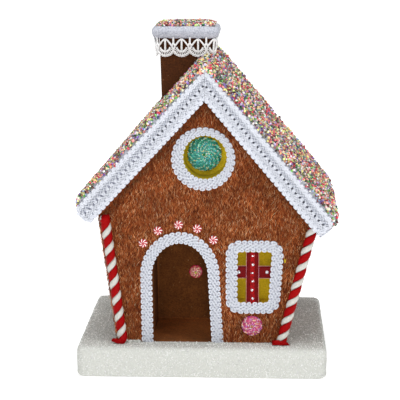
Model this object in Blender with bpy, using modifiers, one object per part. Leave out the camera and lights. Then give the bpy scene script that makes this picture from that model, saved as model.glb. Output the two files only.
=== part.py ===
# Gingerbread house table decoration: a plush covered foam house with a sprinkled
# roof, white braid trims, sweets, twisted candy cane cords and a snowy base slab.
# Metres, +Z up, front towards -Y. The origin is the middle of the base's underside.

import math
import random

import bmesh
import bpy
import numpy as np
from mathutils import Matrix, Vector

GAP = 0.0003  # left between pieces that touch

# Base slab
BASE_WIDTH = 0.225
BASE_DEPTH = 0.1916
BASE_HEIGHT = 0.027
BASE_CORNER = 0.008
BASE_EDGE = 0.0045
BASE_PLAN_STEPS = 4
BASE_EDGE_STEPS = 3

# Walls: the sides stand on their feet and lean outwards
WALL_FRONT = -0.0745
WALL_BACK = 0.0745
LEFT_FOOT = -0.0764
RIGHT_FOOT = 0.0750
LEFT_LEAN = 0.143
RIGHT_LEAN = 0.243
WALL_BOTTOM = BASE_HEIGHT + GAP
ROOF_SEAT = 0.0008  # air between the gables and the underside of the roof

# Roof: two padded slopes, with the front and the back gable slightly unlike
FRONT_GABLE = dict(
    y=-0.088, apex_x=0.0027, apex_z=0.2498, left=47.2, right=49.9, left_run=0.1485, right_run=0.1568
)
BACK_GABLE = dict(
    y=0.0885, apex_x=0.0046, apex_z=0.2529, left=49.5, right=49.9, left_run=0.1470, right_run=0.1530
)
ROOF_THICKNESS = 0.0223
ROOF_RIM = 0.005
RIDGE_ROUND = 0.013
LEFT_EAVE_ROUND = 0.009
RIGHT_EAVE_ROUND = 0.006
EAVE_LOW_ROUND = 0.003
ROUND_STEPS = 3
ROOF_STATIONS = 6
EAVE_SWELL = 0.0036  # how far the right eave bows out between its gables

# Sprinkles fused to the roof and to the top of the chimney
ROOF_SPRINKLES = 40
CHIMNEY_SPRINKLES = 12
SPRINKLE_RADIUS = 0.0021
SPRINKLE_DEPTH = 0.0022
SPRINKLE_SIDES = 5
SPRINKLE_APART = 0.0115
SPRINKLE_BORDER = 0.009
SPRINKLE_TILT = 0.5
SEED = 11

# Braid trims
BRAID_THICK = 0.002
SCALLOP_PITCH = 0.0053
SCALLOP_DEPTH = 0.0013
STATIONS_PER_SCALLOP = 3
ROOF_BRAID_WIDTH = 0.0182
EAVE_BRAID_WIDTH = 0.0135
FRAME_BRAID_WIDTH = 0.0113
FRAME_PITCH = 0.005
HOLE_INSET = 0.003  # from the middle of a frame braid in to the edge of its opening
LINING = 0.001

# Doorway: legs that spring into a half ellipse, along the middle of its braid
DOOR_LEFT_FOOT = -0.0493
DOOR_RIGHT_FOOT = 0.0141
DOOR_LEFT_SPRING = -0.0503
DOOR_RIGHT_SPRING = 0.0105
DOOR_SPRING_Z = 0.090
DOOR_TOP_Z = 0.1238
DOOR_DEPTH = 0.082

# Square window, along the middle of its braid
WINDOW_X = 0.0473
WINDOW_Z = 0.0885
WINDOW_HALF_WIDTH = 0.0206
WINDOW_HALF_HEIGHT = 0.0279
WINDOW_CORNER = 0.007
WINDOW_DEPTH = 0.018
RIBBON_X = 0.0454
RIBBON_Z = 0.0937
RIBBON_WIDTH = 0.0122
RIBBON_THICK = 0.0004
STONES_ON_UPRIGHT = 6
STONE_TOP_Z = 0.1088
STONE_PITCH = 0.0078
CROSS_STONES_X = (0.0335, 0.0584)
STONE_RADIUS = 0.0016
STONE_DEPTH = 0.0012

# Round window
ROUND_X = 0.0010
ROUND_Z = 0.1963
ROUND_RADIUS = 0.0236
ROUND_OPEN_X = 0.0026  # the opening sits up and right of its braid's middle
ROUND_OPEN_Z = 0.1979
ROUND_BRAID_MIDDLE = 0.0239
ROUND_BRAID_WIDTH = 0.0098
ROUND_DEPTH = 0.020
ROUND_SCALLOPS = 36

# Sweets: discs with a domed face
TEAL_RADIUS = 0.0155
TEAL_THICK = 0.0065
TEAL_LIFT = 0.0034
KNOB_RADIUS = 0.0064
KNOB_THICK = 0.0045
KNOB_X = -0.0090
KNOB_Z = 0.0742
PINK_RADIUS = 0.0093
PINK_THICK = 0.0042
PINK_X = 0.0458
PINK_Z = 0.0428
MINT_RADIUS = 0.0044
MINT_THICK = 0.0028
MINTS = ((-0.0529, 0.1196), (-0.0395, 0.1311), (-0.0210, 0.1366), (-0.0043, 0.1332), (0.0102, 0.1231))
BEAD_RADIUS = 0.0013

# Candy cane cords: two strands twisted round each other, up each corner
STRAND_RADIUS = 0.00275
STRAND_OFFSET = 0.0021
CORD_LEFT_PITCH = 0.0154
CORD_RIGHT_PITCH = 0.0167
CORD_RINGS_PER_TURN = 5
CORD_LOBE_ANGLES = (-95, -35, 35, 95)
CORD_LEFT_FOOT = -0.0713
CORD_LEFT_LEAN = 0.134
CORD_RIGHT_FOOT = 0.0712
CORD_RIGHT_LEAN = 0.258
CORD_FOOT_Z = BASE_HEIGHT + 0.0016
CORD_HEADROOM = 0.0075
CORD_OFF_WALL = 0.0053
TUFT_LENGTH = 0.0062
TUFT_HEIGHT = 0.0031

# Chimney
CHIMNEY_X = -0.0195
CHIMNEY_Y = 0.047
CHIMNEY_WIDTH = 0.0500
CHIMNEY_DEPTH = 0.0460
CHIMNEY_FLARE = 0.03  # growth of each half side per metre of height
CHIMNEY_START_Z = 0.210
CHIMNEY_TOP_Z = 0.3062
CHIMNEY_CORNER = 0.003
BAND_BULGE = 0.0068
BAND_BOTTOM_Z = 0.2952
LACE_TOP_OUT = 0.0046
LACE_LOW_OUT = 0.0028
LACE_HEIGHT = 0.0175
LACE_SCALLOP = 0.0045
LACE_THICK = 0.0011
LACE_SCALLOPS = 14
LACE_STATIONS = 5
LACE_CORNER = 0.006
CUTTER_REACH = 0.032
CUTTER_DEEP = 0.06
HEAP_HEIGHT = 0.0034
HEAP_INSET = 0.0030

MATERIALS = {
    "snow": ((0.86, 0.86, 0.83), 0.8),
    "plush": ((0.24, 0.075, 0.02), 0.95),
    "chocolate_felt": ((0.07, 0.025, 0.008), 0.95),
    "olive_felt": ((0.30, 0.24, 0.015), 0.9),
    "sprinkled": ((0.75, 0.55, 0.45), 0.5),
    "white_braid": ((0.78, 0.80, 0.88), 0.75),
    "teal_glitter": ((0.02, 0.40, 0.33), 0.35),
    "pink_glitter": ((0.62, 0.10, 0.22), 0.35),
    "pearl": ((0.60, 0.66, 0.18), 0.25),
    "ribbon": ((0.36, 0.005, 0.02), 0.45),
    "rhinestone": ((0.85, 0.87, 0.90), 0.1),
    "peppermint": ((0.80, 0.45, 0.48), 0.3),
    "candy_cord": ((0.52, 0.06, 0.05), 0.6),
}


def clear_scene():
    for thing in list(bpy.data.objects):
        bpy.data.objects.remove(thing, do_unlink=True)


def new_collection(name):
    made = bpy.data.collections.new(name)
    bpy.context.scene.collection.children.link(made)
    return made


def make_materials():
    made = {}
    for name, (colour, roughness) in MATERIALS.items():
        material = bpy.data.materials.new(name)
        material.use_nodes = True
        shader = material.node_tree.nodes["Principled BSDF"]
        shader.inputs["Base Color"].default_value = (*colour, 1.0)
        shader.inputs["Roughness"].default_value = roughness
        shader.inputs["Metallic"].default_value = 0.0
        made[name] = material
    return made


def add_object(name, mesh, look, where=None):
    thing = bpy.data.objects.new(name, mesh)
    (where or house).objects.link(thing)
    if look:
        mesh.materials.append(looks[look])
    return thing


def mesh_from(bm, name):
    """The mesh of a closed bmesh, with its faces turned outwards."""
    bmesh.ops.recalc_face_normals(bm, faces=bm.faces)
    mesh = bpy.data.meshes.new(name)
    bm.to_mesh(mesh)
    bm.free()
    return mesh


def loft(name, look, rings, closed=False, where=None):
    """A solid through rings that all have the same number of points."""
    bm = bmesh.new()
    rows = [[bm.verts.new(point) for point in ring] for ring in rings]
    count = len(rows[0])
    pairs = list(zip(rows, rows[1:]))
    if closed:
        pairs.append((rows[-1], rows[0]))
    for near, far in pairs:
        for i in range(count):
            j = (i + 1) % count
            bm.faces.new((near[i], near[j], far[j], far[i]))
    if not closed:
        bm.faces.new(rows[0])
        bm.faces.new(rows[-1])
    return add_object(name, mesh_from(bm, name), look, where)


def apply_modifiers(thing):
    scene_state = bpy.context.evaluated_depsgraph_get()
    mesh = bpy.data.meshes.new_from_object(thing.evaluated_get(scene_state))
    thing.modifiers.clear()
    thing.data = mesh


def as_cutter(thing):
    thing.hide_render = True
    thing.display_type = "WIRE"


def cut(thing, cutter):
    step = thing.modifiers.new("cut", "BOOLEAN")
    step.operation = "DIFFERENCE"
    step.solver = "EXACT"
    step.object = cutter


def fuse(thing, bits):
    """Joins every object of a collection to the thing, and removes them."""
    step = thing.modifiers.new("fuse", "BOOLEAN")
    step.operation = "UNION"
    step.solver = "EXACT"
    step.operand_type = "COLLECTION"
    step.collection = bits
    apply_modifiers(thing)
    for bit in list(bits.objects):
        bpy.data.objects.remove(bit, do_unlink=True)
    bpy.data.collections.remove(bits)


# Outlines


def blend(start, end, share):
    return start + (end - start) * share


def gable_at(y):
    """The roof's measures at a depth y, between those of its two gables."""
    share = (y - FRONT_GABLE["y"]) / (BACK_GABLE["y"] - FRONT_GABLE["y"])
    gable = {key: blend(FRONT_GABLE[key], BACK_GABLE[key], share) for key in FRONT_GABLE}
    gable["right_run"] += EAVE_SWELL * math.sqrt(max(0.0, 4 * share * (1 - share)))
    return gable


def slope_point(gable, side, run, rise):
    """X and Z of a point run down the slope and rise above its underside."""
    pitch = math.radians(gable["left"] if side < 0 else gable["right"])
    x = gable["apex_x"] + side * (run * math.cos(pitch) + rise * math.sin(pitch))
    z = gable["apex_z"] - run * math.sin(pitch) + rise * math.cos(pitch)
    return Vector((x, z))


def meeting_point(gable, rise):
    """Where the two slopes' lines at one rise cross above the apex."""
    left = slope_point(gable, -1, 0, rise)
    right = slope_point(gable, 1, 0, rise)
    left_slope = math.tan(math.radians(gable["left"]))
    right_slope = math.tan(math.radians(gable["right"]))
    x = (right.y - left.y + left_slope * left.x + right_slope * right.x) / (left_slope + right_slope)
    return Vector((x, left.y + left_slope * (x - left.x)))


def rounded(corners, steps=ROUND_STEPS):
    """An outline from (point, radius) corners, each turned by an arc."""
    outline = []
    for i, (corner, radius) in enumerate(corners):
        if radius <= 0:
            outline.append(corner.copy())
            continue
        back = (corners[i - 1][0] - corner).normalized()
        ahead = (corners[(i + 1) % len(corners)][0] - corner).normalized()
        half = back.angle(ahead) / 2
        centre = corner + (back + ahead).normalized() * radius / math.sin(half)
        start = corner + back * radius / math.tan(half) - centre
        end = corner + ahead * radius / math.tan(half) - centre
        for step in range(steps + 1):
            spoke = start.lerp(end, step / steps).normalized()
            outline.append(centre + spoke * radius)
    return outline


def resampled(points, count, closed):
    """Points at even distances along a line, each with its sideways direction."""
    line = np.array([tuple(p) for p in points])
    if closed:
        line = np.vstack([line, line[:1]])
    reach = np.concatenate([[0], np.cumsum(np.linalg.norm(np.diff(line, axis=0), axis=1))])
    spots = np.linspace(0, reach[-1], count + 1)
    if closed:
        spots = spots[:-1]
    step = reach[-1] / count / 2

    def at(distance):
        if closed:
            distance = distance % reach[-1]
        return Vector((np.interp(distance, reach, line[:, 0]), np.interp(distance, reach, line[:, 1])))

    found = []
    for spot in spots:
        ahead = at(spot + step) - at(spot - step)
        found.append((at(spot), Vector((-ahead.y, ahead.x)).normalized()))
    return found


def door_path():
    """The doorway's middle line, from the left foot over the arch to the right."""
    middle = (DOOR_LEFT_SPRING + DOOR_RIGHT_SPRING) / 2
    half = (DOOR_RIGHT_SPRING - DOOR_LEFT_SPRING) / 2
    arch_steps = 36
    points = [Vector((DOOR_LEFT_FOOT, WALL_BOTTOM))]
    for step in range(arch_steps + 1):
        turn = math.pi * (1 - step / arch_steps)
        x = middle + half * math.cos(turn)
        points.append(Vector((x, DOOR_SPRING_Z + (DOOR_TOP_Z - DOOR_SPRING_Z) * math.sin(turn))))
    points.append(Vector((DOOR_RIGHT_FOOT, WALL_BOTTOM)))
    return points


def window_path():
    corners = []
    for across, up in ((-1, -1), (-1, 1), (1, 1), (1, -1)):
        x = WINDOW_X + across * WINDOW_HALF_WIDTH
        corners.append((Vector((x, WINDOW_Z + up * WINDOW_HALF_HEIGHT)), WINDOW_CORNER))
    return rounded(corners, steps=6)


def round_path(x, z, radius, count=48):
    turns = [-2 * math.pi * i / count for i in range(count)]
    return [Vector((x + radius * math.cos(t), z + radius * math.sin(t))) for t in turns]


def round_opening():
    return round_path(ROUND_OPEN_X, ROUND_OPEN_Z, ROUND_RADIUS)


def inner_outline(path, count, closed, inset):
    """The path's outline moved inwards, the way an opening's edge runs."""
    return [spot - side * inset for spot, side in resampled(path, count, closed)]


def at_depth(outline, y):
    return [(p.x, y, p.y) for p in outline]


# Base and walls


def build_base():
    bm = bmesh.new()
    bmesh.ops.create_cube(bm, size=1.0)
    bmesh.ops.scale(bm, vec=(BASE_WIDTH, BASE_DEPTH, BASE_HEIGHT), verts=bm.verts)
    bmesh.ops.translate(bm, vec=(0, 0, BASE_HEIGHT / 2), verts=bm.verts)
    uprights = [e for e in bm.edges if abs(e.verts[0].co.z - e.verts[1].co.z) > BASE_HEIGHT / 2]
    bmesh.ops.bevel(
        bm, geom=uprights, offset=BASE_CORNER, segments=BASE_PLAN_STEPS, affect="EDGES", profile=0.5
    )
    rims = [e for e in bm.edges if abs(e.verts[0].co.z - e.verts[1].co.z) < BASE_EDGE / 2]
    bmesh.ops.bevel(bm, geom=rims, offset=BASE_EDGE, segments=BASE_EDGE_STEPS, affect="EDGES", profile=0.5)
    add_object("snow_base", mesh_from(bm, "snow_base"), "snow")


def under_eave(gable, side, foot, lean, headroom):
    """Where a line that leans out from its foot comes to a headroom below the roof."""
    slope = math.tan(math.radians(gable["left"] if side < 0 else gable["right"]))
    ceiling = gable["apex_z"] - headroom - slope * abs(foot.x - gable["apex_x"])
    rise = (ceiling - foot.y) / (1 + lean * slope)
    return Vector((foot.x + side * lean * rise, foot.y + rise))


def wall_outline(y):
    """Feet, leaning sides and the gable just under the roof, at depth y."""
    gable = gable_at(y)
    apex = Vector((gable["apex_x"], gable["apex_z"] - ROOF_SEAT))
    right_foot = Vector((RIGHT_FOOT, WALL_BOTTOM))
    left_foot = Vector((LEFT_FOOT, WALL_BOTTOM))
    right_eave = under_eave(gable, 1, right_foot, RIGHT_LEAN, ROOF_SEAT)
    left_eave = under_eave(gable, -1, left_foot, LEFT_LEAN, ROOF_SEAT)
    return [right_foot, right_eave, apex, left_eave, left_foot]


def build_walls():
    depths = [blend(WALL_FRONT, WALL_BACK, i / ROOF_STATIONS) for i in range(ROOF_STATIONS + 1)]
    walls = loft("house_body", "plush", [at_depth(wall_outline(y), y) for y in depths])
    before = WALL_FRONT - 0.01
    niche = inner_outline(door_path(), 40, False, HOLE_INSET)
    below = WALL_BOTTOM - 0.01
    niche = [Vector((niche[0].x, below))] + niche + [Vector((niche[-1].x, below))]
    holes = {
        "doorway_hole": (niche, DOOR_DEPTH),
        "square_window_hole": (inner_outline(window_path(), 36, True, HOLE_INSET), WINDOW_DEPTH),
        "round_window_hole": (inner_outline(round_opening(), 32, True, HOLE_INSET), ROUND_DEPTH),
    }
    for name, (outline, depth) in holes.items():
        rings = [at_depth(outline, y) for y in (before, WALL_FRONT + depth)]
        cutter = loft(name, None, rings, where=cutters)
        as_cutter(cutter)
        cut(walls, cutter)


def lining(name, look, path, count, closed, depth):
    """A thin felt cup in an opening, open to the front."""
    outer = inner_outline(path, count, closed, HOLE_INSET + GAP)
    inner = inner_outline(path, count, closed, HOLE_INSET + GAP + LINING)
    if not closed:
        for line, floor in ((outer, WALL_BOTTOM), (inner, WALL_BOTTOM + LINING)):
            line[0].y = floor
            line[-1].y = floor
    front = WALL_FRONT + GAP
    back = WALL_FRONT + depth - GAP
    loft(
        name,
        look,
        [
            at_depth(inner, back - LINING),
            at_depth(inner, front),
            at_depth(outer, front),
            at_depth(outer, back),
        ],
    )


def build_linings():
    lining("doorway_lining", "chocolate_felt", door_path(), 40, False, DOOR_DEPTH)
    lining("square_window_lining", "olive_felt", window_path(), 36, True, WINDOW_DEPTH)
    lining("round_window_lining", "olive_felt", round_opening(), 32, True, ROUND_DEPTH)


# Roof


def roof_outline(y, shrink=0.0, grow=0.0, low=0.0):
    """The bent slab at depth y. shrink draws in its outer side, low drops its underside."""
    gable = gable_at(y)
    top = ROOF_THICKNESS - shrink + grow
    left_run = gable["left_run"] - shrink + grow
    right_run = gable["right_run"] - shrink + grow
    under = Vector((gable["apex_x"], gable["apex_z"] + low))
    return rounded(
        [
            (slope_point(gable, -1, left_run, low), EAVE_LOW_ROUND),
            (slope_point(gable, -1, left_run, top), LEFT_EAVE_ROUND),
            (meeting_point(gable, top), RIDGE_ROUND),
            (slope_point(gable, 1, right_run, top), RIGHT_EAVE_ROUND),
            (slope_point(gable, 1, right_run, low), EAVE_LOW_ROUND),
            (under, 0.0),
        ]
    )


def roof_rings():
    """Outlines from front to back, with the outer edges of both gables rounded."""
    turns = [math.pi / 2 * i / ROUND_STEPS for i in range(ROUND_STEPS + 1)]
    rims = [(ROOF_RIM * (1 - math.cos(t)), ROOF_RIM * (1 - math.sin(t))) for t in turns]
    front, back = FRONT_GABLE["y"], BACK_GABLE["y"]
    rings = [at_depth(roof_outline(front + inwards, shrink), front + inwards) for inwards, shrink in rims]
    for i in range(1, ROOF_STATIONS):
        y = blend(front, back, i / ROOF_STATIONS)
        rings.append(at_depth(roof_outline(y), y))
    for inwards, shrink in reversed(rims):
        rings.append(at_depth(roof_outline(back - inwards, shrink), back - inwards))
    return rings


def sprinkle(place, out, rng, bits):
    """One flat grain, half sunk in a surface that faces along out."""
    bm = bmesh.new()
    bmesh.ops.create_cone(
        bm,
        cap_ends=True,
        segments=SPRINKLE_SIDES,
        radius1=SPRINKLE_RADIUS,
        radius2=SPRINKLE_RADIUS * 0.8,
        depth=SPRINKLE_DEPTH,
    )
    tipped = (out + Vector([rng.uniform(-SPRINKLE_TILT, SPRINKLE_TILT) for _ in range(3)])).normalized()
    turn = Matrix.Rotation(rng.uniform(0, math.tau), 4, "Z")
    stand = tipped.to_track_quat("Z", "Y").to_matrix().to_4x4()
    bmesh.ops.transform(bm, matrix=Matrix.Translation(place) @ stand @ turn, verts=bm.verts)
    add_object("grain", mesh_from(bm, "grain"), None, bits)


def near_chimney(x, y):
    reach_x = CHIMNEY_WIDTH / 2 + SPRINKLE_BORDER
    reach_y = CHIMNEY_DEPTH / 2 + SPRINKLE_BORDER
    return abs(x - CHIMNEY_X) < reach_x and abs(y - CHIMNEY_Y) < reach_y


def build_roof():
    roof = loft("roof", "sprinkled", roof_rings())
    rng = random.Random(SEED)
    bits = new_collection("roof grains")
    placed = []
    while len(placed) < ROOF_SPRINKLES:
        side = rng.choice((-1, 1))
        y = rng.uniform(FRONT_GABLE["y"] + SPRINKLE_BORDER, BACK_GABLE["y"] - SPRINKLE_BORDER)
        gable = gable_at(y)
        longest = gable["left_run"] if side < 0 else gable["right_run"]
        run = rng.uniform(0.0, longest - SPRINKLE_BORDER)
        x, z = slope_point(gable, side, run, ROOF_THICKNESS)
        spot = Vector((x, y, z))
        crowded = any((spot - other).length < SPRINKLE_APART for other in placed)
        if crowded or near_chimney(x, y):
            continue
        placed.append(spot)
        pitch = math.radians(gable["left"] if side < 0 else gable["right"])
        sprinkle(spot, Vector((side * math.sin(pitch), 0, math.cos(pitch))), rng, bits)
    fuse(roof, bits)


# Braids


def scallop(share):
    """How far a braid's edge is drawn in at a share of one scallop."""
    return SCALLOP_DEPTH * (1 - abs(math.sin(math.pi * share)))


def scalloped_edge(start, end):
    """Places along a straight edge with their inward depth, whole scallops long."""
    scallops = max(1, round((end - start) / SCALLOP_PITCH))
    count = scallops * STATIONS_PER_SCALLOP
    return [(blend(start, end, i / count), scallop(i / STATIONS_PER_SCALLOP)) for i in range(count + 1)]


def gable_braid(name, gable, side, face, outwards):
    """The wide braid up one side of a gable, meeting its mirror at the ridge."""
    pitch = math.radians(gable["left"] if side < 0 else gable["right"])
    run_end = gable["left_run"] if side < 0 else gable["right_run"]

    def mitre(rise):
        return (GAP - rise * math.sin(pitch)) / math.cos(pitch)

    low = -SCALLOP_DEPTH / 2
    edge = scalloped_edge(mitre(low), run_end)
    outline = [slope_point(gable, side, run, low + depth) for run, depth in edge]
    outline.append(slope_point(gable, side, run_end - ROOF_RIM / 2, ROOF_BRAID_WIDTH))
    outline.append(slope_point(gable, side, mitre(ROOF_BRAID_WIDTH), ROOF_BRAID_WIDTH))
    near = face + outwards * GAP
    far = near + outwards * BRAID_THICK
    loft(name, "white_braid", [at_depth(outline, near), at_depth(outline, far)])


def eave_braid(name, side):
    """The braid along the end of one slope, from gable to gable."""
    start = FRONT_GABLE["y"] + ROOF_RIM / 2
    end = BACK_GABLE["y"] - ROOF_RIM / 2
    lift = EAVE_LOW_ROUND / 3
    rings = []
    for y, depth in scalloped_edge(start, end):
        gable = gable_at(y)
        run = (gable["left_run"] if side < 0 else gable["right_run"]) + GAP
        section = (
            (run, lift + depth),
            (run, lift + EAVE_BRAID_WIDTH),
            (run + BRAID_THICK, lift + EAVE_BRAID_WIDTH),
            (run + BRAID_THICK, lift + depth),
        )
        rings.append(at_depth([slope_point(gable, side, out, rise) for out, rise in section], y))
    loft(name, "white_braid", rings)


def frame_braid(name, path, scallops, closed, width=FRAME_BRAID_WIDTH, lean=Vector((0, 0))):
    """A braid round an opening, scalloped on both edges, narrower towards its lean."""
    stations = resampled(path, scallops * STATIONS_PER_SCALLOP, closed)
    back = WALL_FRONT - GAP
    front = back - BRAID_THICK
    rings = []
    for i, (spot, side) in enumerate(stations):
        reach = width / 2 - lean.dot(side) - scallop(i / STATIONS_PER_SCALLOP)
        outer = spot + side * reach
        inner = spot - side * reach
        rings.append(
            [(outer.x, back, outer.y), (outer.x, front, outer.y), (inner.x, front, inner.y), (inner.x, back, inner.y)]
        )
    return loft(name, "white_braid", rings, closed=closed)


def path_length(path, closed):
    ends = path[1:] + path[:1] if closed else path[1:]
    return sum((b - a).length for a, b in zip(path, ends))


def build_braids():
    for gable, where, outwards in ((FRONT_GABLE, "front", -1), (BACK_GABLE, "back", 1)):
        for side, hand in ((-1, "left"), (1, "right")):
            gable_braid(f"roof_braid_{where}_{hand}", gable, side, gable["y"], outwards)
    eave_braid("eave_braid_left", -1)
    eave_braid("eave_braid_right", 1)
    door = door_path()
    frame_braid("doorway_braid", door, round(path_length(door, False) / FRAME_PITCH), False)
    window = window_path()
    frame_braid("square_window_braid", window, round(path_length(window, True) / FRAME_PITCH), True)
    middle = Vector(((ROUND_X + ROUND_OPEN_X) / 2, (ROUND_Z + ROUND_OPEN_Z) / 2))
    lean = middle - Vector((ROUND_X, ROUND_Z))
    ring = round_path(middle.x, middle.y, ROUND_BRAID_MIDDLE)
    frame_braid("round_window_braid", ring, ROUND_SCALLOPS, True, ROUND_BRAID_WIDTH, lean)


# Sweets, ribbons and stones


def turned_disc(name, look, radius, thick, place, steps):
    """A disc with a domed face, turned round Z and then stood up to face -Y."""
    profile = [
        (0, thick),
        (radius * 0.45, thick * 0.95),
        (radius * 0.82, thick * 0.74),
        (radius, thick * 0.35),
        (radius * 0.93, 0),
        (0, 0),
    ]
    mesh = bpy.data.meshes.new(name)
    mesh.from_pydata([(x, 0, z) for x, z in profile], [(i, i + 1) for i in range(len(profile) - 1)], [])
    disc = add_object(name, mesh, look)
    turn = disc.modifiers.new("turn", "SCREW")
    turn.steps = turn.render_steps = steps
    turn.use_merge_vertices = True
    turn.merge_threshold = 0.00001
    disc.rotation_euler = (math.pi / 2, 0, 0)
    disc.location = place


def bead(name, look, radius, place):
    bm = bmesh.new()
    bmesh.ops.create_uvsphere(bm, u_segments=8, v_segments=6, radius=radius)
    thing = add_object(name, mesh_from(bm, name), look)
    thing.location = place


def build_sweets():
    back = WALL_FRONT + ROUND_DEPTH - LINING - 2 * GAP
    teal_z = ROUND_Z + TEAL_LIFT
    turned_disc("teal_candy", "teal_glitter", TEAL_RADIUS, TEAL_THICK, (ROUND_X, back, teal_z), 24)
    bead("teal_candy_bead", "teal_glitter", BEAD_RADIUS, (ROUND_X, back - TEAL_THICK - GAP - BEAD_RADIUS, teal_z))
    back = WALL_FRONT + DOOR_DEPTH - LINING - 2 * GAP
    turned_disc("doorway_candy", "pink_glitter", KNOB_RADIUS, KNOB_THICK, (KNOB_X, back, KNOB_Z), 16)
    bead("doorway_candy_pearl", "pearl", BEAD_RADIUS, (KNOB_X, back - KNOB_THICK - GAP - BEAD_RADIUS, KNOB_Z))
    back = WALL_FRONT - GAP
    turned_disc("pink_candy", "pink_glitter", PINK_RADIUS, PINK_THICK, (PINK_X, back, PINK_Z), 20)
    bead("pink_candy_pearl", "pearl", BEAD_RADIUS, (PINK_X, back - PINK_THICK - GAP - BEAD_RADIUS, PINK_Z))
    for number, (x, z) in enumerate(MINTS, start=1):
        turned_disc(f"peppermint_{number}", "peppermint", MINT_RADIUS, MINT_THICK, (x, back, z), 12)


def ribbon(name, half_width, half_height, x, z, front):
    bm = bmesh.new()
    bmesh.ops.create_cube(bm, size=1.0)
    bmesh.ops.scale(bm, vec=(half_width * 2, RIBBON_THICK, half_height * 2), verts=bm.verts)
    thing = add_object(name, mesh_from(bm, name), "ribbon")
    thing.location = (x, front + RIBBON_THICK / 2, z)


def rhinestone(name, x, z, back):
    bm = bmesh.new()
    bmesh.ops.create_cone(
        bm, cap_ends=True, segments=8, radius1=STONE_RADIUS, radius2=STONE_RADIUS / 2, depth=STONE_DEPTH
    )
    thing = add_object(name, mesh_from(bm, name), "rhinestone")
    thing.rotation_euler = (math.pi / 2, 0, 0)
    thing.location = (x, back - STONE_DEPTH / 2, z)


def build_window_cross():
    """The ribbons that cross in the square window, with their stones."""
    edge = HOLE_INSET + LINING + 2 * GAP
    reach_x = WINDOW_HALF_WIDTH - edge
    reach_z = WINDOW_HALF_HEIGHT - edge
    upright_front = WALL_FRONT
    cross_front = upright_front + RIBBON_THICK + GAP
    ribbon("ribbon_upright", RIBBON_WIDTH / 2, reach_z, RIBBON_X, WINDOW_Z, upright_front)
    ribbon("ribbon_cross", reach_x, RIBBON_WIDTH / 2, WINDOW_X, RIBBON_Z, cross_front)
    spots = [(RIBBON_X, STONE_TOP_Z - i * STONE_PITCH, upright_front) for i in range(STONES_ON_UPRIGHT)]
    spots += [(x, RIBBON_Z, cross_front) for x in CROSS_STONES_X]
    for number, (x, z, face) in enumerate(spots, start=1):
        rhinestone(f"rhinestone_{number}", x, z, face - GAP)


# Candy cane cords


def cord_ring(height, turn):
    """The outline of two round strands side by side, turned by an angle."""
    points = []
    for middle in (0, math.pi):
        for angle in CORD_LOBE_ANGLES:
            x = STRAND_OFFSET + STRAND_RADIUS * math.cos(math.radians(angle))
            y = STRAND_RADIUS * math.sin(math.radians(angle))
            spot = Matrix.Rotation(middle + turn, 2) @ Vector((x, y))
            points.append((spot.x, spot.y, height))
    return points


def candy_cord(name, foot, top, hand, pitch):
    """A twisted cord from foot to top, with its frayed tuft at the foot."""
    axis = top - foot
    count = round(axis.length / pitch * CORD_RINGS_PER_TURN)
    rings = [
        cord_ring(axis.length * i / count, math.tau * i / CORD_RINGS_PER_TURN) for i in range(count + 1)
    ]
    cord = loft(name, "candy_cord", rings)
    cord.matrix_world = Matrix.Translation(foot) @ axis.to_track_quat("Z", "Y").to_matrix().to_4x4()
    bits = new_collection("tuft")
    bm = bmesh.new()
    bmesh.ops.create_uvsphere(bm, u_segments=10, v_segments=6, radius=1.0)
    bmesh.ops.scale(bm, vec=(TUFT_LENGTH, STRAND_RADIUS * 1.3, TUFT_HEIGHT), verts=bm.verts)
    tuft = add_object("tuft", mesh_from(bm, "tuft"), None, bits)
    tuft.location = (foot.x + hand * TUFT_LENGTH * 0.45, foot.y, BASE_HEIGHT + GAP + TUFT_HEIGHT)
    bpy.context.view_layer.update()
    fuse(cord, bits)


def build_cords():
    for face, where, outwards in ((WALL_FRONT, "front", -1), (WALL_BACK, "back", 1)):
        y = face + outwards * CORD_OFF_WALL
        for hand, foot_x, lean in (
            (-1, CORD_LEFT_FOOT, CORD_LEFT_LEAN),
            (1, CORD_RIGHT_FOOT, CORD_RIGHT_LEAN),
        ):
            foot = Vector((foot_x, y, CORD_FOOT_Z))
            x, z = under_eave(gable_at(y), hand, Vector((foot_x, CORD_FOOT_Z)), lean, CORD_HEADROOM)
            top = Vector((x, y, z))
            side_name = "left" if hand < 0 else "right"
            pitch = CORD_LEFT_PITCH if hand < 0 else CORD_RIGHT_PITCH
            candy_cord(f"candy_cord_{where}_{side_name}", foot, top, hand, pitch)


# Chimney


def chimney_outline(z, grow, corner):
    """The chimney's rounded square at height z, made larger by grow all round."""
    flare = CHIMNEY_FLARE * (z - CHIMNEY_TOP_Z)
    half_x = CHIMNEY_WIDTH / 2 + flare + grow
    half_y = CHIMNEY_DEPTH / 2 + flare + grow
    signs = ((-1, -1), (-1, 1), (1, 1), (1, -1))
    corners = [(Vector((CHIMNEY_X + a * half_x, CHIMNEY_Y + b * half_y)), corner) for a, b in signs]
    return rounded(corners)


def level_ring(z, grow, corner=CHIMNEY_CORNER):
    return [(p.x, p.y, z) for p in chimney_outline(z, grow, corner)]


def slope_cutter():
    """The roof below the chimney, GAP thicker and deep enough to swallow its foot."""
    ends = (CHIMNEY_Y - CUTTER_REACH, CHIMNEY_Y + CUTTER_REACH)
    rings = [at_depth(roof_outline(y, grow=GAP, low=-CUTTER_DEEP), y) for y in ends]
    cutter = loft("roof_slope_cutter", None, rings, where=cutters)
    as_cutter(cutter)
    return cutter


def build_chimney():
    rings = [level_ring(CHIMNEY_START_Z, 0.0), level_ring(CHIMNEY_TOP_Z, 0.0)]
    chimney = loft("chimney", "chocolate_felt", rings)
    cut(chimney, slope)


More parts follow.
